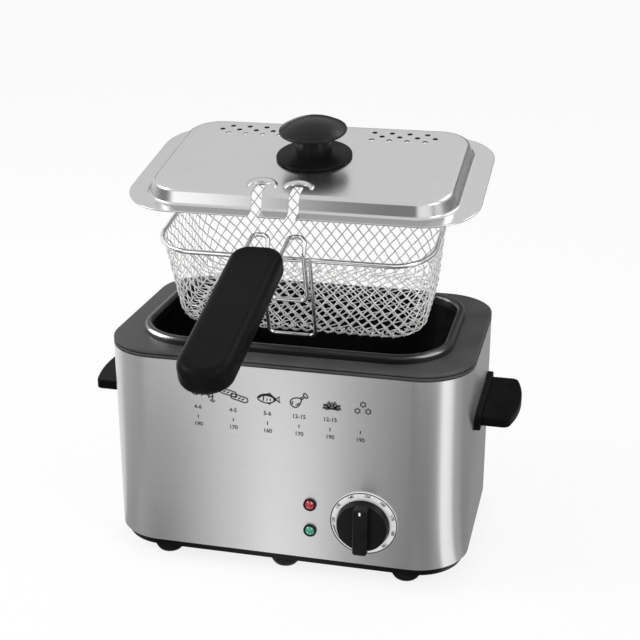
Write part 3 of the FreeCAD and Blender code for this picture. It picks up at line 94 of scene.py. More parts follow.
# Print
FIGURE_CAP = 0.7  # height of a figure as a share of the type's size
FIGURE_WEIGHT = 0.035  # how much a figure is made bolder, as a share of its height
PRINT_LIFT = 0.00006
DIAL_LIFT = 0.00008
DIAL_OUTLINE, DIAL_LINE = 0.0216, 0.0007
DIAL_FIGURE_CIRCLE, DIAL_FIGURE = 0.0197, 0.0019
DIAL_FIRST, DIAL_STEP, DIAL_COUNT = 120, 10, 8
DIAL_START, DIAL_SWEEP = 180, 225
ARC_CIRCLE, ARC_START, ARC_SWEEP, ARC_STEPS = 0.0203, 189, 61, 20
ARC_THICK, ARC_THIN = 0.955, 0.995  # inner edge at the arc's start and end, as a share of the circle
POINTER_START, POINTER_END, POINTER_WIDTH = 0.0126, 0.0148, 0.0012
SIGN_ROW = 0.1262
SIGN_LINE_MM = 0.85
SIGN_FIGURE = 0.0027
MINUTES_ROW, HEAT_ROW = -0.0115, -0.0235
TICK_TOP, TICK_FOOT, TICK_WIDTH = -0.0170, -0.0194, 0.0007

# Stage
CASING_CORNER = 0.035
FLOOR_HALF = 6.0
FLOOR_SINK = 0.0002
FLOOR_GLOW = 0.84
SENSOR_MM = 36.0
LEFT_LAMP_PLACE, LEFT_LAMP_SIZE = (-1.22, -0.44, 1.05), 0.6
RIGHT_LAMP_PLACE, RIGHT_LAMP_SIZE = (1.00, -0.75, 0.95), 0.4
LIP_LAMP_PLACE, LIP_LAMP_AIM, LIP_LAMP_SIZE = (0.68, -0.13, 0.36), (0.09, -0.055, 0.153), 0.6
LIP_LAMP_RATIO = 3  # left lamp's power over the right one's
# Height of the flat part of a studio card over the floor, stepped so that no two cards share a plane
FRONT_CARD_HEIGHT, RIGHT_CARD_HEIGHT, LEFT_CARD_HEIGHT = 0.0015, 0.0010, 0.0005
LID_CARD_Y = 0.692
# Sections of the studio cards: distance from the card's upright axis, and height
FRONT_SECTION = ((0.70, 0), (1.35, 0), (1.35, 0.12))
SIDE_SECTION = ((0.03, 0), (0.80, 0), (0.80, 0.45))
LID_SECTION = ((1.42, 0.12), (1.42, 0.42))
WINDOW_SECTION = ((1.10, 1.25), (1.10, 1.73))
BACK_SECTION = ((1.40, 0.18), (1.40, 0.92))
# Grey levels of the studio cards by bearing, to the right of straight ahead of the fryer
FRONT_TONES = ((-26, 0.32), (-23.5, 0.29), (-21.5, 0.18), (-18.4, 0.64), (-16, 1.0), (-14.2, 0.92),
               (-12, 0.50), (-9, 0.22), (-7, 0.20))
RIGHT_TONES = ((-9, 0.13), (22, 0.12), (44, 0.20), (54, 1.1), (71, 1.1), (81, 0.44), (104, 0.28),
               (176, 0.42))
LEFT_TONES = ((-22, 0.30), (-50, 0.25), (-72, 0.32), (-100, 0.80), (-128, 1.0), (-170, 1.0))
LID_TONES = ((-32, 0.4), (-28, 0.7), (-25, 1.3), (-22.5, 2.0), (-18.5, 2.2), (-16.5, 1.4), (-15, 0.75),
             (-13.5, 0.40), (-12, 0.18), (-9.5, 0.07), (-7.5, 0.05), (-6, 0.3), (-3, 1.5), (25, 1.2),
             (60, 0.8))
WINDOW_TONES = ((100, 8), (145, 8))
BACK_TONES = tuple((bearing, 0.12) for bearing in range(130, 240, 10))


# Settings


class FryerBasketSettings(bpy.types.PropertyGroup):
    """Sizes of the woven basket."""

    wire: FloatProperty(
        name="Mesh wire", description="Diameter of the woven wire", default=0.00086, unit="LENGTH",
        precision=5)
    diamonds: IntProperty(
        name="Diamonds round", description="Diamonds in one row round the basket", default=64, min=12)
    diamond_height: FloatProperty(
        name="Diamond height", description="Height of one diamond on the wall", default=0.0100,
        unit="LENGTH", precision=4)
    crimp: FloatProperty(
        name="Crimp", description="How far a wire swings over and under the ones it crosses",
        default=0.00042, unit="LENGTH", precision=5)
    turn: FloatProperty(
        name="Turn-under", description="Radius with which the wall turns into the floor", default=0.0068,
        unit="LENGTH", precision=4)
    rim_corner: FloatProperty(
        name="Rim corner", description="Corner radius of the rim", default=0.026, unit="LENGTH",
        precision=4)
    floor_corner: FloatProperty(
        name="Floor corner", description="Corner radius of the wall at the floor", default=0.022,
        unit="LENGTH", precision=4)


class FryerLidSettings(bpy.types.PropertyGroup):
    """Sizes of the pressed lid, as it lies closed."""

    travel: FloatProperty(
        name="Travel", description="How far the lid has slid off its closed place", unit="LENGTH",
        precision=4, default=-JOINTS["lid_lift"]["range_m"][0])
    corner: FloatProperty(
        name="Flange corner", description="Corner radius of the flange", default=0.034, unit="LENGTH",
        precision=4)
    panel_corner: FloatProperty(
        name="Panel corner", description="Corner radius of the raised panel's foot", default=0.024,
        unit="LENGTH", precision=4)
    flange: FloatProperty(
        name="Flange", description="Width of the flat flange in front and behind", default=0.0085,
        unit="LENGTH", precision=4)
    side_flange: FloatProperty(
        name="Side flange", description="Width of the flat flange at the sides", default=0.0135,
        unit="LENGTH", precision=4)
    step: FloatProperty(
        name="Step run", description="How far the step leans in on its way up", default=0.0035,
        unit="LENGTH", precision=4)
    rise: FloatProperty(
        name="Panel rise", description="Height of the hollow under the panel", default=0.0095,
        unit="LENGTH", precision=4)
    sheet: FloatProperty(
        name="Sheet", description="Thickness of the sheet", default=0.0009, unit="LENGTH", precision=5)
    foot_round: FloatProperty(
        name="Foot round", description="Radius at the foot of the step", default=0.0024, unit="LENGTH",
        precision=4)
    top_round: FloatProperty(
        name="Top round", description="Radius at the top of the step", default=0.0032, unit="LENGTH",
        precision=4)
    slot_end: FloatProperty(
        name="Slot end", description="Y of the round end of a handle slot", default=-0.0440,
        unit="LENGTH", precision=4)
    lip: FloatProperty(
        name="Slot lip", description="Radius of the pressed lip round a slot's end", default=0.0085,
        unit="LENGTH", precision=4)
    hole: FloatProperty(
        name="Steam hole", description="Radius of a steam hole", default=0.0018, unit="LENGTH",
        precision=4)
    hole_columns: IntProperty(
        name="Hole columns", description="Steam holes in one row of a group", default=4, min=1)
    hole_rows: IntProperty(
        name="Hole rows", description="Rows of steam holes in a group", default=3, min=1)
    hole_pitch: FloatProperty(
        name="Hole pitch", description="Distance of the steam holes along a row", default=0.0118,
        unit="LENGTH", precision=4)
    hole_row_pitch: FloatProperty(
        name="Row pitch", description="Distance between the rows of steam holes", default=0.0057,
        unit="LENGTH", precision=4)
    hole_group: FloatProperty(
        name="Hole group", description="Distance of a group of steam holes from the middle",
        default=0.049, unit="LENGTH", precision=4)
    hole_inset: FloatProperty(
        name="Hole inset", description="Distance of the rear row from the panel's edge", default=0.009,
        unit="LENGTH", precision=4)


class FryerFinishSettings(bpy.types.PropertyGroup):
    """Colours and gloss of the main finishes."""

    steel: FloatVectorProperty(
        name="Casing steel", description="Colour of the brushed casing", default=(0.73, 0.73, 0.73),
        subtype="COLOR", min=0, max=1)
    steel_gloss: FloatProperty(
        name="Casing roughness", description="Mean roughness of the brushed casing", default=0.32,
        min=0, max=1)
    lid_steel: FloatVectorProperty(
        name="Lid steel", description="Colour of the pressed lid", default=(0.55, 0.55, 0.55),
        subtype="COLOR", min=0, max=1)
    chrome: FloatVectorProperty(
        name="Basket wire", description="Colour of the plated basket wire", default=(0.95, 0.95, 0.94),
        subtype="COLOR", min=0, max=1)
    frame: FloatVectorProperty(
        name="Basket frame", description="Colour of the plated rim and handle wires",
        default=(0.84, 0.84, 0.84), subtype="COLOR", min=0, max=1)
    bezel: FloatVectorProperty(
        name="Top ring", description="Colour of the matt top ring", default=(0.062, 0.062, 0.063),
        subtype="COLOR", min=0, max=1)
    black: FloatVectorProperty(
        name="Black plastic", description="Colour of the black mouldings",
        default=(0.0065, 0.0065, 0.0068), subtype="COLOR", min=0, max=1)
    coating: FloatVectorProperty(
        name="Pot coating", description="Colour of the coating in the pot",
        default=(0.0015, 0.0015, 0.0015), subtype="COLOR", min=0, max=1)
    red: FloatVectorProperty(
        name="Red lens", description="Colour of the upper lamp's lens", default=(0.38, 0.007, 0.014),
        subtype="COLOR", min=0, max=1)
    green: FloatVectorProperty(
        name="Green lens", description="Colour of the lower lamp's lens", default=(0.020, 0.27, 0.17),
        subtype="COLOR", min=0, max=1)
    ink: FloatVectorProperty(
        name="Print", description="Colour of the print on the front", default=(0.020, 0.020, 0.022),
        subtype="COLOR", min=0, max=1)


class FryerStageSettings(bpy.types.PropertyGroup):
    """Camera and light."""

    lens: FloatProperty(
        name="Lens", description="Focal length of the camera", default=71.44, unit="CAMERA")
    camera_place: FloatVectorProperty(
        name="Camera", description="Where the camera stands", default=(0.195807, -0.784537, 0.448906),
        subtype="TRANSLATION", unit="LENGTH", precision=4)
    camera_aim: FloatVectorProperty(
        name="Aim", description="The point that the camera looks at",
        default=(0.005240, 0.014759, 0.145602), subtype="TRANSLATION", unit="LENGTH", precision=4)
    ambient: FloatProperty(
        name="Ambient", description="Level of the even light on dull surfaces", default=0.72, min=0,
        max=2)
    left_lamp: FloatProperty(
        name="Left lamp", description="Power of the soft lamp on the left", default=10.0, min=0,
        subtype="POWER", unit="POWER")
    right_lamp: FloatProperty(
        name="Right lamp", description="Power of the soft lamp on the right", default=5.0, min=0,
        subtype="POWER", unit="POWER")
    lip_lamp: FloatProperty(
        name="Lip lamp", description="Power of the left one of the two lamps that light only the pot",
        default=48.0, min=0, subtype="POWER", unit="POWER")


# Finishes


def new_finish(name, colour, metallic, roughness):
    """Material with its even values set on the shader's own sockets; returns material, tree and shader."""
    material = bpy.data.materials.new(name)
    material.use_nodes = True
    tree = material.node_tree
    surface = tree.nodes["Principled BSDF"]
    surface.inputs["Base Color"].default_value = (*colour, 1)
    surface.inputs["Metallic"].default_value = metallic
    surface.inputs["Roughness"].default_value = roughness
    return material, tree, surface


def grain(tree, scale, detail=2.0, stretch=(1, 1, 1), rough=0.55):
    """Noise in the frame's own space, in cycles per metre, drawn out along the axes; returns its factor."""
    place = tree.nodes.new("ShaderNodeTexCoord")
    mapping = tree.nodes.new("ShaderNodeMapping")
    noise = tree.nodes.new("ShaderNodeTexNoise")
    mapping.inputs["Scale"].default_value = stretch
    noise.inputs["Scale"].default_value = scale
    noise.inputs["Detail"].default_value = detail
    noise.inputs["Roughness"].default_value = rough
    tree.links.new(place.outputs["Object"], mapping.inputs["Vector"])
    tree.links.new(mapping.outputs["Vector"], noise.inputs["Vector"])
    return noise.outputs["Fac"]


def greater(tree, one, other):
    """The greater of two factors."""
    node = tree.nodes.new("ShaderNodeMath")
    node.operation = "MAXIMUM"
    tree.links.new(one, node.inputs[0])
    tree.links.new(other, node.inputs[1])
    return node.outputs["Value"]


def spread(tree, value, low, high, start=0.3, end=0.7):
    """A factor drawn out to a range of numbers."""
    node = tree.nodes.new("ShaderNodeMapRange")
    node.inputs["From Min"].default_value = start
    node.inputs["From Max"].default_value = end
    node.inputs["To Min"].default_value = low
    node.inputs["To Max"].default_value = high
    tree.links.new(value, node.inputs["Value"])
    return node.outputs["Result"]


def tint(tree, value, dark, bright, start=0.3, end=0.7):
    """A factor drawn out between two colours."""
    ramp = tree.nodes.new("ShaderNodeValToRGB")
    ramp.color_ramp.elements[0].position = start
    ramp.color_ramp.elements[0].color = (*dark, 1)
    ramp.color_ramp.elements[1].position = end
    ramp.color_ramp.elements[1].color = (*bright, 1)
    tree.links.new(value, ramp.inputs["Fac"])
    return ramp.outputs["Color"]


def relief(tree, surface, value, depth, strength=1.0):
    """Lets a factor raise the surface by a depth in metres."""
    bump = tree.nodes.new("ShaderNodeBump")
    bump.inputs["Strength"].default_value = strength
    bump.inputs["Distance"].default_value = depth
    tree.links.new(value, bump.inputs["Height"])
    tree.links.new(bump.outputs["Normal"], surface.inputs["Normal"])


def shade(colour, factor):
    """A colour made darker or lighter."""
    return tuple(min(1, part * factor) for part in colour)


def mottle(tree, surface, value, colour, dark, bright):
    """Lets a factor vary the colour between a darker and a brighter shade of itself."""
    colours = tint(tree, value, shade(colour, dark), shade(colour, bright))
    tree.links.new(colours, surface.inputs["Base Color"])


def brushed_finish(name, colour, roughness, stretch, turned_gloss=False):
    """Brushed sheet: fine scratches one way and cloudy wear; its gloss can spread across the scratches."""
    material, tree, surface = new_finish(name, colour, 1.0, roughness)
    scratches = grain(tree, 1.0, stretch=stretch, rough=0.5)
    clouds = grain(tree, 14.0)
    mottle(tree, surface, scratches, colour, 0.97, 1.03)
    tree.links.new(spread(tree, clouds, roughness - 0.01, roughness + 0.015), surface.inputs["Roughness"])
    relief(tree, surface, scratches, depth=0.000002, strength=0.3)
    if turned_gloss:
        surface.inputs["Anisotropic"].default_value = 0.85
        surface.inputs["Anisotropic Rotation"].default_value = 0.25
        direction = tree.nodes.new("ShaderNodeTangent")
        direction.direction_type = "RADIAL"
        direction.axis = "Z"
        tree.links.new(direction.outputs["Tangent"], surface.inputs["Tangent"])
    return material


def moulded_finish(name, colour, roughness, pitch, depth, sheen=0.12):
    """Moulded plastic or rubber: a fine grain of one pitch in metres, with faint scuffs in its gloss."""
    material, tree, surface = new_finish(name, colour, 0.0, roughness)
    texture = grain(tree, 1 / pitch)
    scuffs = grain(tree, 45.0, detail=4.0)
    mottle(tree, surface, scuffs, colour, 0.85, 1.25)
    tree.links.new(spread(tree, scuffs, roughness - 0.05, roughness + 0.08), surface.inputs["Roughness"])
    relief(tree, surface, texture, depth)
    surface.inputs["Specular IOR Level"].default_value = sheen
    return material


def plated_finish(name, colour, roughness, metallic=1.0):
    """Plated wire or small metal: bright, with slightly clouded gloss and faint drawing lines."""
    material, tree, surface = new_finish(name, colour, metallic, roughness)
    clouds = grain(tree, 160.0)
    lines = grain(tree, 900.0)
    mottle(tree, surface, clouds, colour, 0.86, 1.08)
    tree.links.new(spread(tree, clouds, roughness * 0.7, roughness * 1.4), surface.inputs["Roughness"])
    relief(tree, surface, lines, depth=0.00001, strength=0.4)
    return material


def coated_finish(name, colour, lip_height):
    """Non-stick coating: near black with fine pale specks, glossy in the well and satin on the lip."""
    well_gloss, lip_gloss = 0.15, 0.28
    material, tree, surface = new_finish(name, colour, 0.0, 0.18)
    specks = grain(tree, 1500.0, detail=1.0)
    skin = grain(tree, 300.0)
    speckled = tint(tree, specks, colour, shade(colour, 3.0), 0.66, 0.74)
    tree.links.new(speckled, surface.inputs["Base Color"])
    place = tree.nodes.new("ShaderNodeTexCoord")
    split = tree.nodes.new("ShaderNodeSeparateXYZ")
    tree.links.new(place.outputs["Object"], split.inputs["Vector"])
    pebbled = spread(tree, skin, well_gloss, 0.22)
    satin = spread(tree, split.outputs["Z"], well_gloss, lip_gloss, lip_height - POT_LIP_BLEND, lip_height)
    tree.links.new(greater(tree, pebbled, satin), surface.inputs["Roughness"])
    relief(tree, surface, skin, depth=0.000004, strength=0.3)
    surface.inputs["Specular IOR Level"].default_value = 0.35
    return material


def lens_finish(name, colour):
    """Lamp lens: clear coloured plastic with a ribbed inside that breaks up the light."""
    material, tree, surface = new_finish(name, colour, 0.0, 0.18)
    ribs = grain(tree, 900.0, detail=1.0)
    mottle(tree, surface, ribs, colour, 0.55, 1.5)
    tree.links.new(tint(tree, ribs, shade(colour, 0.4), colour), surface.inputs["Emission Color"])
    surface.inputs["Emission Strength"].default_value = 0.12
    surface.inputs["Coat Weight"].default_value = 1.0
    surface.inputs["Coat Roughness"].default_value = 0.05
    return material


def printed_finish(name, colour, roughness=0.45):
    """Print or enamel: one colour that the brush or screen laid a little unevenly."""
    material, tree, surface = new_finish(name, colour, 0.0, roughness)
    patches = grain(tree, 800.0)
    mottle(tree, surface, patches, colour, 0.88, 1.10)
    tree.links.new(spread(tree, patches, roughness - 0.05, roughness + 0.07), surface.inputs["Roughness"])
    return material


def finish_nodes(material, *names):
    """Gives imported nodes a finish."""
    for name in names:
        mesh = NODES[name].data
        mesh.materials.clear()
        mesh.materials.append(material)


# Shapes


def basket_matrix():
    """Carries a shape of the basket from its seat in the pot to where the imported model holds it."""
    hinge = JOINTS["basket_lift"]
    pivot = Vector(hinge["pos_m"])
    turn = Matrix.Rotation(math.radians(-hinge["range_deg"][0]), 4, Vector(hinge["axis"]))
    return Matrix.Translation(pivot) @ turn @ Matrix.Translation(-pivot)


def lid_matrix(travel):
    """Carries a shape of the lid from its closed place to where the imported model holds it."""
    return Matrix.Translation(Vector(JOINTS["lid_lift"]["axis"]) * travel) @ basket_matrix()


def seated_points(node, matrix):
    """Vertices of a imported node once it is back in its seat."""
    back = matrix.inverted()
    return [back @ vertex.co for vertex in NODES[node].data.vertices]


def seated_box(node, matrix):
    """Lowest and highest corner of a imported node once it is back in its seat."""
    points = seated_points(node, matrix)
    low = Vector([min(point[axis] for point in points) for axis in range(3)])
    high = Vector([max(point[axis] for point in points) for axis in range(3)])
    return low, high


def heading(degrees):
    """Plane direction at an angle."""
    turn = math.radians(degrees)
    return Vector((math.cos(turn), math.sin(turn)))


def loop_point(half_x, half_y, corner, share):
    """Point and outward direction at a share of the way round a rounded rectangle, from its front middle."""
    wide = 2 * (half_x - corner)
    deep = 2 * (half_y - corner)
    bend = math.pi / 2 * corner
    walk = (share % 1) * (2 * wide + 2 * deep + 4 * bend)
    stretches = ((wide / 2, Vector((0, -half_y, 0)), -90), (bend, None, -90),
                 (deep, Vector((half_x, -deep / 2, 0)), 0), (bend, None, 0),
                 (wide, Vector((wide / 2, half_y, 0)), 90), (bend, None, 90),
                 (deep, Vector((-half_x, deep / 2, 0)), 180), (bend, None, 180),
                 (wide / 2, Vector((-wide / 2, -half_y, 0)), 270))
    for length, start, facing in stretches:
        if walk <= length or facing == 270:
            break
        walk -= length
    if start is None:
        outward = heading(facing + math.degrees(walk / corner)).to_3d()
        middle = heading(facing + 45)
        centre = Vector((math.copysign(wide / 2, middle.x), math.copysign(deep / 2, middle.y), 0))
        return centre + outward * corner, outward
    outward = heading(facing).to_3d()
    return start + Vector((-outward.y, outward.x, 0)) * walk, outward


def tube(points, radius, sides):
    """Vertices and faces of a round wire along points, capped at both ends."""
    vertices = []
    faces = []
    side = None
    for index, point in enumerate(points):
        before = points[max(index - 1, 0)]
        after = points[min(index + 1, len(points) - 1)]
        run = (after - before).normalized()
        if side is None:
            side = run.orthogonal()
        side = (side - run * side.dot(run)).normalized()
        other = run.cross(side)
        for step in range(sides):
            turn = math.tau * step / sides
            vertices.append(point + (side * math.cos(turn) + other * math.sin(turn)) * radius)
    for index in range(len(points) - 1):
        for step in range(sides):
            following = (step + 1) % sides
            low = index * sides
            faces.append((low + step, low + following, low + sides + following, low + sides + step))
    faces.append(tuple(reversed(range(sides))))
    last = (len(points) - 1) * sides
    faces.append(tuple(range(last, last + sides)))
    return vertices, faces


def gather(parts):
    """One list of vertices and one of faces from several."""
    vertices = []
    faces = []
    for part_vertices, part_faces in parts:
        start = len(vertices)
        vertices.extend(part_vertices)
        faces.extend(tuple(index + start for index in face) for face in part_faces)
    return vertices, faces


def soften(corners, radii, steps=6):
    """Profile through plane corners, each rounded by its radius."""
    profile = [Vector(corners[0])]
    for before, corner, after, radius in zip(corners, corners[1:], corners[2:], radii):
        corner = Vector(corner)
        back = (Vector(before) - corner).normalized()
        ahead = (Vector(after) - corner).normalized()
        half = back.angle(ahead) / 2
        centre = corner + (back + ahead).normalized() * (radius / math.sin(half))
        enter = corner + back * (radius / math.tan(half)) - centre
        leave = corner + ahead * (radius / math.tan(half)) - centre
        sweep = enter.angle(leave)
        for step in range(steps + 1):
            share = step / steps
            arm = enter * math.sin((1 - share) * sweep) + leave * math.sin(share * sweep)
            profile.append(centre + arm / math.sin(sweep))
    profile.append(Vector(corners[-1]))
    return profile


def prism(outline, low, high):
    """Upright closed prism over a plane outline listed anticlockwise."""
    count = len(outline)
    vertices = [Vector((x, y, low)) for x, y in outline] + [Vector((x, y, high)) for x, y in outline]
    faces = [tuple(reversed(range(count))), tuple(range(count, 2 * count))]
    for index in range(count):
        following = (index + 1) % count
        faces.append((index, following, count + following, count + index))
    return vertices, faces


def circle(x, y, radius, steps, start=0.0, sweep=360.0):
    """Points on a circle or on an arc of it, in plane coordinates."""
    whole = abs(sweep) >= 360
    gaps = steps if whole else steps - 1
    turns = [math.radians(start + sweep * step / gaps) for step in range(steps)]
    return [(x + radius * math.cos(turn), y + radius * math.sin(turn)) for turn in turns]


def turned(points, degrees, middle=(0, 0)):
    """Plane points turned about the origin and then moved to a middle."""
    swing = Matrix.Rotation(math.radians(degrees), 2)
    return [tuple(Vector(middle) + swing @ Vector(point)) for point in points]


def ribbon(points, width, closed=False):
    """Flat stroke of one width along plane points."""
    count = len(points)
    vertices = []
    for index, point in enumerate(points):
        before = points[index - 1] if closed or index else point
        after = points[(index + 1) % count] if closed or index + 1 < count else point
        run = (Vector(after) - Vector(before)).normalized()
        across = Vector((-run.y, run.x)) * (width / 2)
        vertices.append(Vector(point) + across)
        vertices.append(Vector(point) - across)
    faces = []
    for index in range(count if closed else count - 1):
        following = (index + 1) % count
        faces.append((2 * index, 2 * index + 1, 2 * following + 1, 2 * following))
    return vertices, faces


def patch(points):
    """Flat filled outline."""
    return [Vector(point) for point in points], [tuple(range(len(points)))]


def new_mesh(name, vertices, faces):
    """Mesh from its vertices and faces."""
    mesh = bpy.data.meshes.new(name)
    mesh.from_pydata(vertices, [], faces)
    mesh.update()
    return mesh


def new_object(name, data):
    """Object that stands in the scene."""
    holder = bpy.data.objects.new(name, data)
    bpy.context.scene.collection.objects.link(holder)
    return holder


def add_mesh(name, mesh, material, body, smooth_angle=40.0):
    """Piece from a finished mesh that rides on a body, smooth except at edges sharper than an angle."""
    mesh.materials.clear()
    mesh.materials.append(material)
    mesh.shade_smooth()
    mesh.set_sharp_from_angle(angle=math.radians(smooth_angle))
    piece = new_object(name, mesh)
    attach(piece, body)
    return piece


def add_piece(name, vertices, faces, material, body, smooth_angle=40.0):
    """Piece from vertices and faces in the frame's metres that rides on a body."""
    return add_mesh(name, new_mesh(name, vertices, faces), material, body, smooth_angle)


# Basket


def wall_line(depth, rim_z, floor_z, taper, turn, run_in):
    """Inset, height and outward direction of the mesh wall at a depth along it, and its whole length."""
    lean = math.atan2(taper, rim_z - floor_z)
    swing = math.pi / 2 - lean
    straight = (rim_z - floor_z) / math.cos(lean) - turn * math.tan(swing / 2)
    down = Vector((math.sin(lean), -math.cos(lean)))
    if depth <= straight:
        point = Vector((0, rim_z)) + down * depth
    else:
        knee = Vector((0, rim_z)) + down * straight
        centre = knee + Vector((math.cos(lean), math.sin(lean))) * turn
        bent = lean + min((depth - straight) / turn, swing)
        down = Vector((math.sin(bent), -math.cos(bent)))
        point = centre - Vector((math.cos(bent), math.sin(bent))) * turn
        point += Vector((1, 0)) * max(0.0, depth - straight - turn * swing)
    whole = straight + turn * swing + run_in
    return point.x, point.y, Vector((down.y, -down.x)), whole


def wall_wires(settings, half, taper, rim_z, floor_z):
    """The two families of slanting wires that weave the basket's wall and turn in under its floor."""
    line = rim_z, floor_z, taper, settings.turn, settings.diamond_height / 2
    whole = wall_line(0, *line)[3]
    slope = 1 / settings.diamonds / settings.diamond_height
    steps = math.ceil(whole / settings.diamond_height * STEPS_PER_DIAMOND)
    wires = []
    for family in (-1, 1):
        for number in range(settings.diamonds):
            points = []
            for step in range(steps + 1):
                depth = whole * step / steps
                inset, z, outward, _ = wall_line(depth, *line)
                lowered = min(inset / taper, 1)
                corner = settings.rim_corner + (settings.floor_corner - settings.rim_corner) * lowered
                corner -= max(0.0, inset - taper)
                share = number / settings.diamonds + family * slope * depth
                point, away = loop_point(half[0] - inset, half[1] - inset, corner, share)
                swing = family * settings.crimp * math.cos(math.tau * depth / settings.diamond_height)
                point += away * (-outward.x * swing)
                points.append(Vector((point.x, point.y, z + outward.y * swing)))
            wires.append(points)
    return wires


def floor_wires(settings, half, z, across):
    """The two families of slanting wires that weave the basket's floor."""
    tall = settings.diamond_height
    corner = settings.floor_corner - settings.turn
    count = math.ceil((half[0] + half[1]) / across) + 1
    steps = math.ceil(2 * half[1] / tall * STEPS_PER_DIAMOND)
    wires = []
    for family in (-1, 1):
        for number in range(-count, count + 1):
            points = []
            for step in range(steps + 1):
                y = -half[1] + 2 * half[1] * step / steps
                x = number * across + family * across * y / tall
                past = Vector((max(abs(x) - half[0] + corner, 0), max(abs(y) - half[1] + corner, 0)))
                if past.length <= corner:
                    swing = family * settings.crimp * math.cos(math.tau * y / tall)
                    points.append(Vector((x, y, z - swing)))
            if len(points) > 3:
                wires.append(points)
    return wires


class FRYER_OT_basket(bpy.types.Operator):
    """Weaves the basket from crossing wires, plates its frame and finishes its grip"""

    bl_idname = "fryer.basket"
    bl_label = "Basket"

    def execute(self, context):
        settings = context.scene.fryer_basket
        finish = context.scene.fryer_finish
        matrix = basket_matrix()
        rim_low, rim_high = seated_box("basket_rim", matrix)
        floor_low, floor_high = seated_box("basket_floor_mesh", matrix)
        rim_radius = (rim_high.z - rim_low.z) / 2
        skin = settings.wire / 2 + settings.crimp
        half = rim_high.x - rim_radius - skin, rim_high.y - rim_radius - skin
        floor_half = floor_high.x - skin, floor_high.y - skin
        rim_z = (rim_high.z + rim_low.z) / 2
        floor_z = floor_low.z + skin
        around = 4 * (half[0] + half[1]) - (8 - math.tau) * settings.rim_corner
        wires = wall_wires(settings, half, half[0] - floor_half[0], rim_z, floor_z)
        wires += floor_wires(settings, [side - settings.turn for side in floor_half], floor_z,
                             around / settings.diamonds)
        parts = [tube([matrix @ point for point in wire], settings.wire / 2, WIRE_SIDES) for wire in wires]
        plating = plated_finish("basket_wire_plating", finish.chrome, roughness=0.22, metallic=0.25)
        weave = add_piece("basket_weave", *gather(parts), plating, "basket", smooth_angle=60)
        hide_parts(*MESH_NODES)
        plating = plated_finish("basket_frame_plating", finish.frame, roughness=0.14, metallic=0.95)
        finish_nodes(plating, "basket_rim", "basket_bracket", "handle_wire")
        matt = moulded_finish("grip_matt_black", shade(finish.black, 0.8), roughness=0.36, pitch=0.0009,
                              depth=0.00003, sheen=0.04)
        finish_nodes(matt, "basket_grip")
        return {"FINISHED"}


# Lid


def lid_profile(settings):
    """Section of the lid from the hollow's middle, round the flange's edge, to the panel's middle."""
    sheet = settings.sheet
    high = settings.rise + sheet
    reach = PANEL_REACH * settings.flange
    lean = settings.step / high
    corners = [(reach, settings.rise), (settings.flange + settings.step + sheet, settings.rise),
               (settings.flange + sheet, 0), (0, 0), (0, sheet), (settings.flange + lean * sheet, sheet),
               (settings.flange + settings.step, high), (reach, high)]
    radii = (settings.top_round - sheet, settings.foot_round + sheet, sheet * UNDER_EDGE_ROUND,
             sheet * UPPER_EDGE_ROUND, settings.foot_round, settings.top_round)
    return soften(corners, radii)


def lid_ring(settings, half, base, inset, height, steps=14):
    """Points of the lid's outline at one inset from its edge."""
    run = min(inset / settings.flange, 1)
    corner = settings.corner + (settings.panel_corner - settings.corner) * run
    corner -= max(0.0, inset - settings.flange)
    wide = half[0] - inset - (settings.side_flange - settings.flange) * run - corner
    deep = half[1] - inset - corner
    points = []
    for side_x, side_y, start in ((1, -1, -90), (1, 1, 0), (-1, 1, 90), (-1, -1, 180)):
        centre = Vector((side_x * wide, side_y * deep, base + height))
        for step in range(steps + 1):
            points.append(centre + heading(start + 90 * step / steps).to_3d() * corner)
    return points


def pressed_sheet(rings):
    """Closed skin through rings of equal count, with a flat face at either end."""
    count = len(rings[0])
    vertices = [point for ring in rings for point in ring]
    faces = [tuple(range(count))]
    for index in range(len(rings) - 1):
        for step in range(count):
            following = (step + 1) % count
            low = index * count
            faces.append((low + following, low + step, low + count + step, low + count + following))
    last = (len(rings) - 1) * count
    faces.append(tuple(range(last, last + count)))
    return vertices, faces


def lid_slots(matrix, front, half_width):
    """X and half width of the two handle slots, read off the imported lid's front edge."""
    edge = [point.x for point in seated_points("lid_plate", matrix)
            if point.y < front + SLOT_EDGE_SLACK and abs(point.x) < half_width / 2]
    middle = (min(edge) + max(edge)) / 2
    slots = []
    for side in (-1, 1):
        own = [x for x in edge if (x - middle) * side > 0]
        slots.append(((min(own) + max(own)) / 2, (max(own) - min(own)) / 2))
    return slots


def lid_cutters(settings, half, low, high, slots):
    """Closed prisms for the handle slots and the steam holes."""
    parts = []
    front = -half[1] - settings.flange
    for x, wide in slots:
        outline = [(x - wide, front), (x + wide, front)] + circle(x, settings.slot_end, wide, 13, 0, 180)
        parts.append(prism(outline, low, high))
    rear = half[1] - settings.flange - settings.step - settings.hole_inset
    for side in (-1, 1):
        for row in range(settings.hole_rows):
            for column in range(settings.hole_columns):
                place = column - (settings.hole_columns - 1) / 2 + row % 2 / 2
                x = side * (settings.hole_group + place * settings.hole_pitch)
                y = rear - row * settings.hole_row_pitch
                parts.append(prism(circle(x, y, settings.hole, 20), low, high))
    return parts


def cut_out(vertices, faces, parts):
    """Mesh of a closed skin with the parts taken out of it."""
    skin = new_object("skin", new_mesh("skin", vertices, faces))
    cutters = new_object("cutters", new_mesh("cutters", *gather(parts)))
    cut = skin.modifiers.new("openings", "BOOLEAN")
    cut.operation = "DIFFERENCE"
    cut.solver = "EXACT"
    cut.object = cutters
    evaluated = skin.evaluated_get(bpy.context.evaluated_depsgraph_get())
    result = bpy.data.meshes.new_from_object(evaluated)
    for leftover in (skin, cutters):
        bpy.data.meshes.remove(leftover.data)
    return result


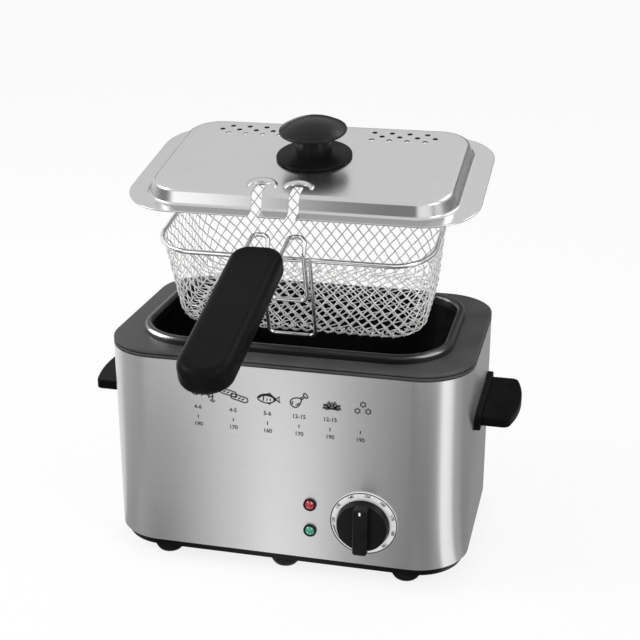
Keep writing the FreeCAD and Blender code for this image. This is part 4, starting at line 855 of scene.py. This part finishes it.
def slot_lip(settings, x, z):
    """Crescent bead pressed up round the end of a handle slot, thinning towards its tips."""
    arc = circle(x, settings.slot_end, settings.lip, LIP_STEPS, LIP_START, LIP_SWEEP)
    points = [Vector((*place, z)) for place in arc]
    vertices, faces = tube(points, 1.0, LIP_SIDES)
    for index, point in enumerate(points):
        share = math.sin(math.pi * (index + 0.6) / (LIP_STEPS + 0.2)) ** 0.5
        for number in range(index * LIP_SIDES, (index + 1) * LIP_SIDES):
            offset = vertices[number] - point
            arm = Vector((offset.x * LIP_WIDTH, offset.y * LIP_WIDTH, offset.z * LIP_HEIGHT))
            vertices[number] = point + arm * share
    return vertices, faces


class FRYER_OT_lid(bpy.types.Operator):
    """Presses the lid from sheet with rounded steps, cuts its openings and finishes its knob"""

    bl_idname = "fryer.lid"
    bl_label = "Lid"

    def execute(self, context):
        settings = context.scene.fryer_lid
        finish = context.scene.fryer_finish
        steel = brushed_finish("lid_satin_steel", finish.lid_steel, roughness=0.24,
                               stretch=(20, 4000, 4000))
        matrix = lid_matrix(settings.travel)
        low, high = seated_box("lid_plate", matrix)
        half = high.x, high.y
        rings = [lid_ring(settings, half, low.z, inset, height) for inset, height in lid_profile(settings)]
        slots = lid_slots(matrix, low.y, high.x)
        top = low.z + settings.rise + settings.sheet
        parts = lid_cutters(settings, half, low.z - CUTTER_MARGIN, top + CUTTER_MARGIN, slots)
        mesh = cut_out(*pressed_sheet(rings), parts)
        mesh.transform(matrix)
        plate = add_mesh("lid_pressing", mesh, steel, "lid", smooth_angle=28)
        plate.modifiers.new("even_shading", "WEIGHTED_NORMAL").keep_sharp = True
        points, faces = gather([slot_lip(settings, x, top - LIP_SINK) for x, _ in slots])
        lip = add_piece("lid_slot_lips", [matrix @ point for point in points], faces, steel, "lid")
        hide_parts("lid_plate")
        for name, node, sheen in (("lid_knob_satin_black", "lid_knob", 0.18),
                                  ("knob_disc_black", "knob_disc", 0.05)):
            gloss = moulded_finish(name, finish.black, roughness=0.30, pitch=0.0014, depth=0.00001,
                                   sheen=sheen)
            finish_nodes(gloss, node)
        plating = plated_finish("lid_screw_plating", (0.55, 0.55, 0.54), roughness=0.28)
        finish_nodes(plating, "knob_washer", "knob_screw")
        return {"FINISHED"}


# Casing, pot and side handles


class FRYER_OT_casing(bpy.types.Operator):
    """Finishes the brushed casing, the top ring, the base and the feet"""

    bl_idname = "fryer.casing"
    bl_label = "Casing"

    def execute(self, context):
        finish = context.scene.fryer_finish
        steel = brushed_finish("casing_brushed_steel", finish.steel, finish.steel_gloss,
                               stretch=(8, 8, 5000), turned_gloss=True)
        finish_nodes(steel, "outer_shell")
        matt = moulded_finish("top_ring_matt_grey", finish.bezel, roughness=0.45, pitch=0.0007,
                              depth=0.00002, sheen=0.16)
        finish_nodes(matt, "top_bezel")
        dark = moulded_finish("base_black", shade(finish.black, 0.7), roughness=0.38, pitch=0.0008,
                              depth=0.00003, sheen=0.03)
        finish_nodes(dark, "base_tray")
        rubber = moulded_finish("foot_rubber", shade(finish.black, 1.3), roughness=0.60, pitch=0.0006,
                                depth=0.00004)
        for row in ("front", "rear"):
            finish_nodes(rubber, *[f"foot_{row}_{column}" for column in ("left", "middle", "right")])
        return {"FINISHED"}


class FRYER_OT_pot(bpy.types.Operator):
    """Coats the oil pot"""

    bl_idname = "fryer.pot"
    bl_label = "Oil pot"

    def execute(self, context):
        _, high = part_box("oil_pot")
        coating = coated_finish("pot_coating", context.scene.fryer_finish.coating, high.z - POT_LIP_DEPTH)
        finish_nodes(coating, "oil_pot")
        return {"FINISHED"}


class FRYER_OT_side_handles(bpy.types.Operator):
    """Finishes the two side handles"""

    bl_idname = "fryer.side_handles"
    bl_label = "Side handles"

    def execute(self, context):
        black = shade(context.scene.fryer_finish.black, 0.8)
        satin = moulded_finish("side_handle_satin_black", black, roughness=0.26, pitch=0.0012,
                               depth=0.00001, sheen=0.02)
        finish_nodes(satin, "side_handle_left", "side_handle_right")
        return {"FINISHED"}


# Controls


def on_front(parts, y, x, z):
    """Plane shapes, drawn in metres, set upright on the front at a depth and facing the cook."""
    vertices, faces = gather(parts)
    return [Vector((x + point.x, y, z + point.y)) for point in vertices], faces


def figures(text, height, x, z, turn=0.0):
    """Plain figures as a flat shape, centred on a point and turned by degrees."""
    curve = bpy.data.curves.new("figures", "FONT")
    curve.body = text
    curve.size = height / FIGURE_CAP
    curve.offset = height * FIGURE_WEIGHT
    curve.align_x = "CENTER"
    curve.align_y = "CENTER"
    holder = new_object("figures", curve)
    evaluated = holder.evaluated_get(bpy.context.evaluated_depsgraph_get())
    mesh = bpy.data.meshes.new_from_object(evaluated)
    points = turned([vertex.co.xy for vertex in mesh.vertices], turn, (x, z))
    faces = [tuple(polygon.vertices) for polygon in mesh.polygons]
    bpy.data.objects.remove(holder)
    bpy.data.curves.remove(curve)
    bpy.data.meshes.remove(mesh)
    return [Vector(point) for point in points], faces


def dial_print():
    """Outline, figures and tapering arc of the dial, about its middle."""
    parts = [ribbon(circle(0, 0, DIAL_OUTLINE, 72), DIAL_LINE, True)]
    for step in range(DIAL_COUNT):
        turn = DIAL_START - DIAL_SWEEP * step / (DIAL_COUNT - 1)
        place = heading(turn) * DIAL_FIGURE_CIRCLE
        parts.append(figures(str(DIAL_FIRST + DIAL_STEP * step), DIAL_FIGURE, *place, turn - 90))
    outer = circle(0, 0, ARC_CIRCLE, ARC_STEPS, ARC_START, ARC_SWEEP)
    inner = []
    for step, (x, y) in enumerate(outer):
        share = ARC_THICK + (ARC_THIN - ARC_THICK) * step / (ARC_STEPS - 1)
        inner.append((x * share, y * share))
    faces = [(index, index + 1, ARC_STEPS + index + 1, ARC_STEPS + index) for index in range(ARC_STEPS - 1)]
    parts.append(([Vector(point) for point in outer + inner], faces))
    return parts


class FRYER_OT_controls(bpy.types.Operator):
    """Finishes the control knob, prints its dial and colours the two lamps"""

    bl_idname = "fryer.controls"
    bl_label = "Dial and lamps"

    def execute(self, context):
        finish = context.scene.fryer_finish
        ink = printed_finish("dial_ink", finish.ink)
        white = printed_finish("dial_white", (0.93, 0.93, 0.92), roughness=0.35)
        finish_nodes(white, "dial_ring")
        ring_low, ring_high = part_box("dial_ring")
        middle = (ring_low + ring_high) / 2
        shape = on_front(dial_print(), ring_low.y - DIAL_LIFT, middle.x, middle.z)
        marks = add_piece("dial_marks", *shape, ink, "fryer_body")
        knob_low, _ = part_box("control_knob")
        stroke = ribbon([(0, POINTER_START), (0, POINTER_END)], POINTER_WIDTH)
        shape = on_front([stroke], knob_low.y - PRINT_LIFT, middle.x, middle.z)
        pointer = add_piece("knob_pointer", *shape, white, "thermostat_knob")
        satin = moulded_finish("knob_satin_black", finish.black, roughness=0.30, pitch=0.0012,
                               depth=0.00001, sheen=0.15)
        finish_nodes(satin, "control_knob")
        collar = moulded_finish("lamp_collar", shade(finish.black, 1.6), roughness=0.35, pitch=0.0007,
                                depth=0.00002)
        finish_nodes(collar, "lamp_holder_red", "lamp_holder_green")
        finish_nodes(lens_finish("lamp_red_lens", finish.red), "lamp_lens_red")
        finish_nodes(lens_finish("lamp_green_lens", finish.green), "lamp_lens_green")
        return {"FINISHED"}


# Front print: each sign is drawn in millimetres about its own middle, with strokes of one width


def oval(x, z, wide, tall, steps, start, sweep):
    """Points on an arc of an ellipse."""
    return [(x + wide * px, z + tall * pz) for px, pz in circle(0, 0, 1, steps, start, sweep)]


def prawn_sign(line):
    """Curled prawn: a ringed body, a fan tail and two feelers."""
    parts = [ribbon(oval(0, 0, 5.2, 3.6, 22, -35, 215), line),
             ribbon(oval(0, -0.6, 2.6, 1.5, 16, -35, 215), line)]
    for turn in (0, 35, 70, 105, 140):
        direction = heading(turn)
        inner = (2.6 * direction.x, -0.6 + 1.5 * direction.y)
        parts.append(ribbon([inner, (5.2 * direction.x, 3.6 * direction.y)], line))
    parts.append(ribbon([(4.3, -2.1), (6.6, -3.4), (5.2, -4.0), (3.0, -2.6)], line))
    parts.append(ribbon([(-5.2, 0.2), (-7.2, 1.6), (-8.0, 3.6)], line * 0.8))
    parts.append(ribbon([(-5.2, 0.0), (-7.6, 0.2), (-8.6, 1.2)], line * 0.8))
    parts.append(patch(circle(-4.0, 0.9, 0.5, 10)))
    return parts


def roll_sign(line):
    """Two crisp rolls, one over the other, with three cuts across each."""
    parts = []
    outline = circle(3.9, 0, 1.75, 9, -90, 180) + circle(-3.9, 0, 1.75, 9, 90, 180)
    for middle in ((-3.6, 1.7), (3.8, -1.6)):
        parts.append(ribbon(turned(outline, -14, middle), line, True))
        for notch in (-2.4, 0.0, 2.4):
            cut = [(notch - 0.75, -0.75), (notch + 0.75, 0.75)]
            parts.append(ribbon(turned(cut, -14, middle), line))
    return parts


def fish_sign(line):
    """Fish with a filled back, a forked tail, fins and an eye."""
    upper = oval(-0.8, -1.6, 6.4, 4.6, 17, 20, 140)
    lower = oval(-0.8, 1.4, 6.4, 4.4, 17, 200, 140)
    parts = [ribbon(upper, line), ribbon(lower, line)]
    parts.append(patch(upper + oval(-0.8, -2.6, 6.2, 4.2, 17, 160, -140)))
    parts.append(ribbon([(5.0, 0.1), (8.0, 2.2), (7.1, 0.0), (8.2, -2.0), (5.0, -0.2)], line))
    parts.append(ribbon(oval(-3.7, 0.0, 0.9, 1.9, 9, -70, 140), line))
    parts.append(patch(circle(-5.1, 0.4, 0.42, 10)))
    parts.append(ribbon([(-0.6, 2.9), (1.2, 4.0), (2.6, 2.4)], line))
    parts.append(ribbon([(-0.4, -2.8), (1.2, -3.8), (2.2, -2.4)], line))
    for x in (-1.2, 1.0, 3.2):
        parts.append(ribbon(oval(x, -0.6, 0.8, 1.0, 7, -60, 120), line * 0.8))
    return parts


def drumstick_sign(line):
    """Drumstick with a bone that ends in two knuckles."""
    body = [(-2.0 + 3.9 * x, 2.9 * z * (1 - 0.32 * x)) for x, z in circle(0, 0, 1, 30)]
    bone = [(1.8, 0.55), (5.2, 0.55)] + circle(5.9, 0.95, 0.85, 7, 200, -200)
    bone += circle(5.9, -0.95, 0.85, 7, 0, -200) + [(5.2, -0.55), (1.8, -0.55)]
    gleam = oval(-2.6, 0.2, 2.2, 1.5, 9, 110, 80)
    crease = [(-3.6, -1.4), (-2.2, -1.9), (-0.8, -1.5)]
    parts = [ribbon(turned(body, 38), line, True)]
    for points in (bone, gleam, crease):
        parts.append(ribbon(turned(points, 38), line))
    return parts


def fries_sign(line):
    """Heap of cut fries that fan out from the middle."""
    parts = []
    middle = Vector((0, -2.4))
    for step, reach in enumerate((5.6, 6.4, 5.2, 6.6, 5.4, 6.5, 5.3, 6.3, 5.7)):
        direction = heading(12 + 156 * step / 8)
        direction.y *= 0.75
        across = Vector((-direction.y, direction.x)).normalized() * 0.48
        near = middle + direction * 1.4
        far = middle + direction * reach
        corners = [tuple(near + across), tuple(far + across), tuple(far - across), tuple(near - across)]
        parts.append(patch(corners) if step % 2 else ribbon(corners, line * 0.8, True))
    parts.append(ribbon([(-6.0, -2.9), (-2.4, -2.2), (2.4, -2.2), (6.0, -2.9)], line))
    parts.append(ribbon([(-4.4, -3.5), (0.0, -2.9), (4.4, -3.5)], line))
    return parts


def star_sign(line):
    """Three small stars for frozen food."""
    parts = []
    for middle in ((0.3, 2.4), (-3.2, -2.2), (3.6, -2.0)):
        outline = []
        for step in range(12):
            reach = 1.25 if step % 2 else 1.95
            outline.append(tuple(Vector(middle) + heading(90 + 30 * step) * reach))
        parts.append(ribbon(outline, line, True))
    return parts


# Sign, its x, how far it hangs below the row and how far its figures stand to the right of it, in
# millimetres, then the minutes and the heat under it
FOOD_SIGNS = ((prawn_sign, -48.0, 3.2, -5.1, "4-6", "190"), (roll_sign, -29.0, 1.2, -0.6, "4-5", "170"),
              (fish_sign, -6.5, 1.2, -0.4, "5-6", "160"), (drumstick_sign, 13.5, 0.4, 0.2, "12-15", "170"),
              (fries_sign, 35.0, 1.1, -1.2, "12-15", "190"), (star_sign, 54.5, 1.4, -1.2, "", "190"))


class FRYER_OT_front_print(bpy.types.Operator):
    """Prints six food signs on the front, each over its plain figures"""

    bl_idname = "fryer.front_print"
    bl_label = "Front print"

    def execute(self, context):
        ink = printed_finish("front_ink", context.scene.fryer_finish.ink)
        shell_low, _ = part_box("outer_shell")
        for sign, x, drop, shift, minutes, heat in FOOD_SIGNS:
            lower = Vector((0, -drop))
            parts = []
            for vertices, faces in sign(SIGN_LINE_MM):
                parts.append(([(point + lower) / 1000 for point in vertices], faces))
            column = shift / 1000
            if minutes:
                parts.append(figures(minutes, SIGN_FIGURE, column, MINUTES_ROW))
            parts.append(ribbon([(column, TICK_TOP), (column, TICK_FOOT)], TICK_WIDTH))
            parts.append(figures(heat, SIGN_FIGURE, column, HEAT_ROW))
            name = sign.__name__.replace("_sign", "_print")
            shape = on_front(parts, shell_low.y - PRINT_LIFT, x / 1000, SIGN_ROW)
            piece = add_piece(name, *shape, ink, "fryer_body")
        return {"FINISHED"}


# Inner works


class FRYER_OT_inner_works(bpy.types.Operator):
    """Finishes the heater, the wiring pieces and the screws inside the casing"""

    bl_idname = "fryer.inner_works"
    bl_label = "Inner works"

    def execute(self, context):
        zinc = plated_finish("zinc_plating", (0.56, 0.56, 0.55), roughness=0.30)
        finish_nodes(zinc, "tie_screws", "handle_screws", "panel_screws", "clamp_screws", "heater_clamps",
                     "thermostat_shaft", "sensing_bulb", "gland_nut")
        aluminium = brushed_finish("spreader_aluminium", (0.66, 0.67, 0.68), roughness=0.40,
                                   stretch=(8, 600, 600))
        finish_nodes(aluminium, "heat_spreader")
        sheet = brushed_finish("shield_sheet", (0.58, 0.58, 0.57), roughness=0.42, stretch=(600, 8, 600))
        finish_nodes(sheet, "heat_shield")
        sheath = plated_finish("heater_sheath", (0.20, 0.18, 0.17), roughness=0.48)
        finish_nodes(sheath, "heating_element")
        cream = moulded_finish("insulator_cream", (0.62, 0.58, 0.48), roughness=0.55, pitch=0.0007,
                               depth=0.00003)
        finish_nodes(cream, "terminal_block", "thermal_cutout", "thermostat_body")
        black = moulded_finish("gland_black", context.scene.fryer_finish.black, roughness=0.42,
                               pitch=0.0008, depth=0.00003)
        finish_nodes(black, "cord_gland")
        return {"FINISHED"}


# Stage


def seen_level(tree):
    """Factor that is one for what the camera, a gloss or a clear body sees, and zero for other light."""
    path = tree.nodes.new("ShaderNodeLightPath")
    seen = greater(tree, path.outputs["Is Camera Ray"], path.outputs["Is Glossy Ray"])
    return greater(tree, seen, path.outputs["Is Transmission Ray"])


def white_world(ambient):
    """World that shows white and lights dull surfaces at an even level."""
    world = bpy.data.worlds.new("studio_white")
    world.use_nodes = True
    tree = world.node_tree
    background = tree.nodes["Background"]
    background.inputs["Color"].default_value = (1, 1, 1, 1)
    level = spread(tree, seen_level(tree), ambient, 1.0, 0.0, 1.0)
    tree.links.new(level, background.inputs["Strength"])
    return world


def floor_finish():
    """Pale floor that shows white and keeps a faint shadow."""
    material, tree, surface = new_finish("studio_floor", (0.92, 0.92, 0.92), 0.0, 0.9)
    glow = tree.nodes.new("ShaderNodeEmission")
    glow.inputs["Color"].default_value = (1, 1, 1, 1)
    mix = tree.nodes.new("ShaderNodeMixShader")
    tree.links.new(spread(tree, seen_level(tree), 0.0, FLOOR_GLOW, 0.0, 1.0), mix.inputs["Fac"])
    tree.links.new(surface.outputs["BSDF"], mix.inputs[1])
    tree.links.new(glow.outputs["Emission"], mix.inputs[2])
    tree.links.new(mix.outputs["Shader"], tree.nodes["Material Output"].inputs["Surface"])
    return material


def lay_floor():
    """Wide floor just under the feet."""
    corners = [(x * FLOOR_HALF, y * FLOOR_HALF, 0) for x, y in ((-1, -1), (1, -1), (1, 1), (-1, 1))]
    mesh = new_mesh("studio_floor", corners, [(0, 1, 2, 3)])
    mesh.materials.append(floor_finish())
    floor = new_object("studio_floor", mesh)
    floor.location = (0, 0, -FLOOR_SINK)


def stand(holder, place, aim):
    """Stands a lamp or the camera at a place and turns it to a point."""
    holder.location = place
    holder.rotation_euler = (Vector(aim) - Vector(place)).to_track_quat("-Z", "Y").to_euler()


def soft_lamp(name, place, aim, size, power):
    """Large square lamp that looks at a point."""
    lamp = bpy.data.lights.new(name, "AREA")
    lamp.shape = "SQUARE"
    lamp.size = size
    lamp.energy = power
    holder = new_object(name, lamp)
    stand(holder, place, aim)
    return holder


def hang_lamps(settings):
    """Two soft lamps for the whole fryer, and two that only put a gleam on the pot's lip."""
    soft_lamp("left_lamp", LEFT_LAMP_PLACE, settings.camera_aim, LEFT_LAMP_SIZE, settings.left_lamp)
    soft_lamp("right_lamp", RIGHT_LAMP_PLACE, settings.camera_aim, RIGHT_LAMP_SIZE, settings.right_lamp)
    pot_only = bpy.data.collections.new("pot_only")
    pot_only.objects.link(NODES["oil_pot"])
    for side, power in ((-1, settings.lip_lamp), (1, settings.lip_lamp / LIP_LAMP_RATIO)):
        place, aim = [(x * side, y, z) for x, y, z in (LIP_LAMP_PLACE, LIP_LAMP_AIM)]
        lamp = soft_lamp("lip_lamp", place, aim, LIP_LAMP_SIZE, power)
        lamp.light_linking.receiver_collection = pot_only


def tone_finish():
    """Finish of a studio card: its own grey level at each point."""
    material = bpy.data.materials.new("studio_card")
    material.use_nodes = True
    tree = material.node_tree
    tree.nodes.remove(tree.nodes["Principled BSDF"])
    level = tree.nodes.new("ShaderNodeAttribute")
    level.attribute_name = "tone"
    glow = tree.nodes.new("ShaderNodeEmission")
    tree.links.new(level.outputs["Fac"], glow.inputs["Strength"])
    tree.links.new(glow.outputs["Emission"], tree.nodes["Material Output"].inputs["Surface"])
    return material


def tone_card(name, material, axis, section, tones):
    """Card that only gloss can see: a section swept round an upright axis, with a tone for each bearing."""
    vertices = []
    levels = []
    for bearing, tone in tones:
        turn = math.radians(bearing)
        ahead = Vector((math.sin(turn), -math.cos(turn), 0))
        vertices += [axis + ahead * distance + Vector((0, 0, height)) for distance, height in section]
        levels += [tone] * len(section)
    faces = []
    for index in range(0, len(vertices) - len(section), len(section)):
        for low in range(index, index + len(section) - 1):
            faces.append((low, low + 1, low + len(section) + 1, low + len(section)))
    mesh = new_mesh(name, vertices, faces)
    mesh.attributes.new("tone", "FLOAT", "POINT").data.foreach_set("value", levels)
    mesh.materials.append(material)
    card = new_object(name, mesh)
    card.visible_camera = False
    card.visible_diffuse = False
    card.visible_shadow = False
    card.visible_transmission = False


def stand_cards(camera_place):
    """Grey cards for the steel to mirror: in front, at both corners, for the lid, overhead and behind."""
    low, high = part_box("outer_shell")
    front = low.y + CASING_CORNER
    mirrored = Vector((camera_place.x, 2 * low.y - camera_place.y, FRONT_CARD_HEIGHT))
    right = Vector((high.x - CASING_CORNER, front, RIGHT_CARD_HEIGHT))
    left = Vector((low.x + CASING_CORNER, front, LEFT_CARD_HEIGHT))
    behind_lid = Vector((camera_place.x, LID_CARD_Y, 0))
    middle = Vector((0, 0, 0))
    grey = tone_finish()
    for name, axis, section, tones in (("front_card", mirrored, FRONT_SECTION, FRONT_TONES),
                                       ("right_card", right, SIDE_SECTION, RIGHT_TONES),
                                       ("left_card", left, SIDE_SECTION, LEFT_TONES),
                                       ("lid_card", behind_lid, LID_SECTION, LID_TONES),
                                       ("right_window", middle, WINDOW_SECTION, WINDOW_TONES),
                                       ("back_card", middle, BACK_SECTION, BACK_TONES)):
        tone_card(name, grey, axis, section, tones)


class FRYER_OT_stage(bpy.types.Operator):
    """Sets the white stage, the lamps, the studio cards and the camera"""

    bl_idname = "fryer.stage"
    bl_label = "Stage"

    def execute(self, context):
        scene = context.scene
        settings = scene.fryer_stage
        scene.view_settings.view_transform = "Standard"
        scene.world = white_world(settings.ambient)
        lay_floor()
        hang_lamps(settings)
        stand_cards(settings.camera_place)
        camera = bpy.data.cameras.new("camera")
        camera.lens = settings.lens
        camera.sensor_width = SENSOR_MM
        camera.sensor_fit = "HORIZONTAL"
        scene.camera = new_object("camera", camera)
        stand(scene.camera, settings.camera_place, settings.camera_aim)
        return {"FINISHED"}


# Sidebar


class FRYER_PT_sidebar(bpy.types.Panel):
    """Settings and pieces of the fryer"""

    bl_label = "Deep Fryer"
    bl_idname = "FRYER_PT_sidebar"
    bl_space_type = "VIEW_3D"
    bl_region_type = "UI"
    bl_category = "Fryer"

    def draw(self, context):
        layout = self.layout
        for operator in OPERATORS:
            layout.operator(operator.bl_idname)
        for name, (_, title) in SETTINGS.items():
            group = getattr(context.scene, name)
            box = layout.box()
            box.label(text=title)
            for key in group.__annotations__:
                box.prop(group, key)


OPERATORS = (FRYER_OT_casing, FRYER_OT_pot, FRYER_OT_side_handles, FRYER_OT_controls, FRYER_OT_front_print,
             FRYER_OT_basket, FRYER_OT_lid, FRYER_OT_inner_works, FRYER_OT_stage)
SETTINGS = {"fryer_basket": (FryerBasketSettings, "Basket"), "fryer_lid": (FryerLidSettings, "Lid"),
            "fryer_finish": (FryerFinishSettings, "Finishes"), "fryer_stage": (FryerStageSettings, "Stage")}


def register():
    for name, (group, _) in SETTINGS.items():
        bpy.utils.register_class(group)
        setattr(bpy.types.Scene, name, PointerProperty(type=group))
    for operator in OPERATORS:
        bpy.utils.register_class(operator)
    bpy.utils.register_class(FRYER_PT_sidebar)


def unregister():
    bpy.utils.unregister_class(FRYER_PT_sidebar)
    for operator in reversed(OPERATORS):
        bpy.utils.unregister_class(operator)
    for name, (group, _) in SETTINGS.items():
        delattr(bpy.types.Scene, name)
        bpy.utils.unregister_class(group)


def main():
    register()
    bpy.ops.fryer.casing()
    bpy.ops.fryer.pot()
    bpy.ops.fryer.side_handles()
    bpy.ops.fryer.controls()
    bpy.ops.fryer.front_print()
    bpy.ops.fryer.basket()
    bpy.ops.fryer.lid()
    bpy.ops.fryer.inner_works()
    bpy.ops.fryer.stage()


if __name__ == "__main__":
    main()
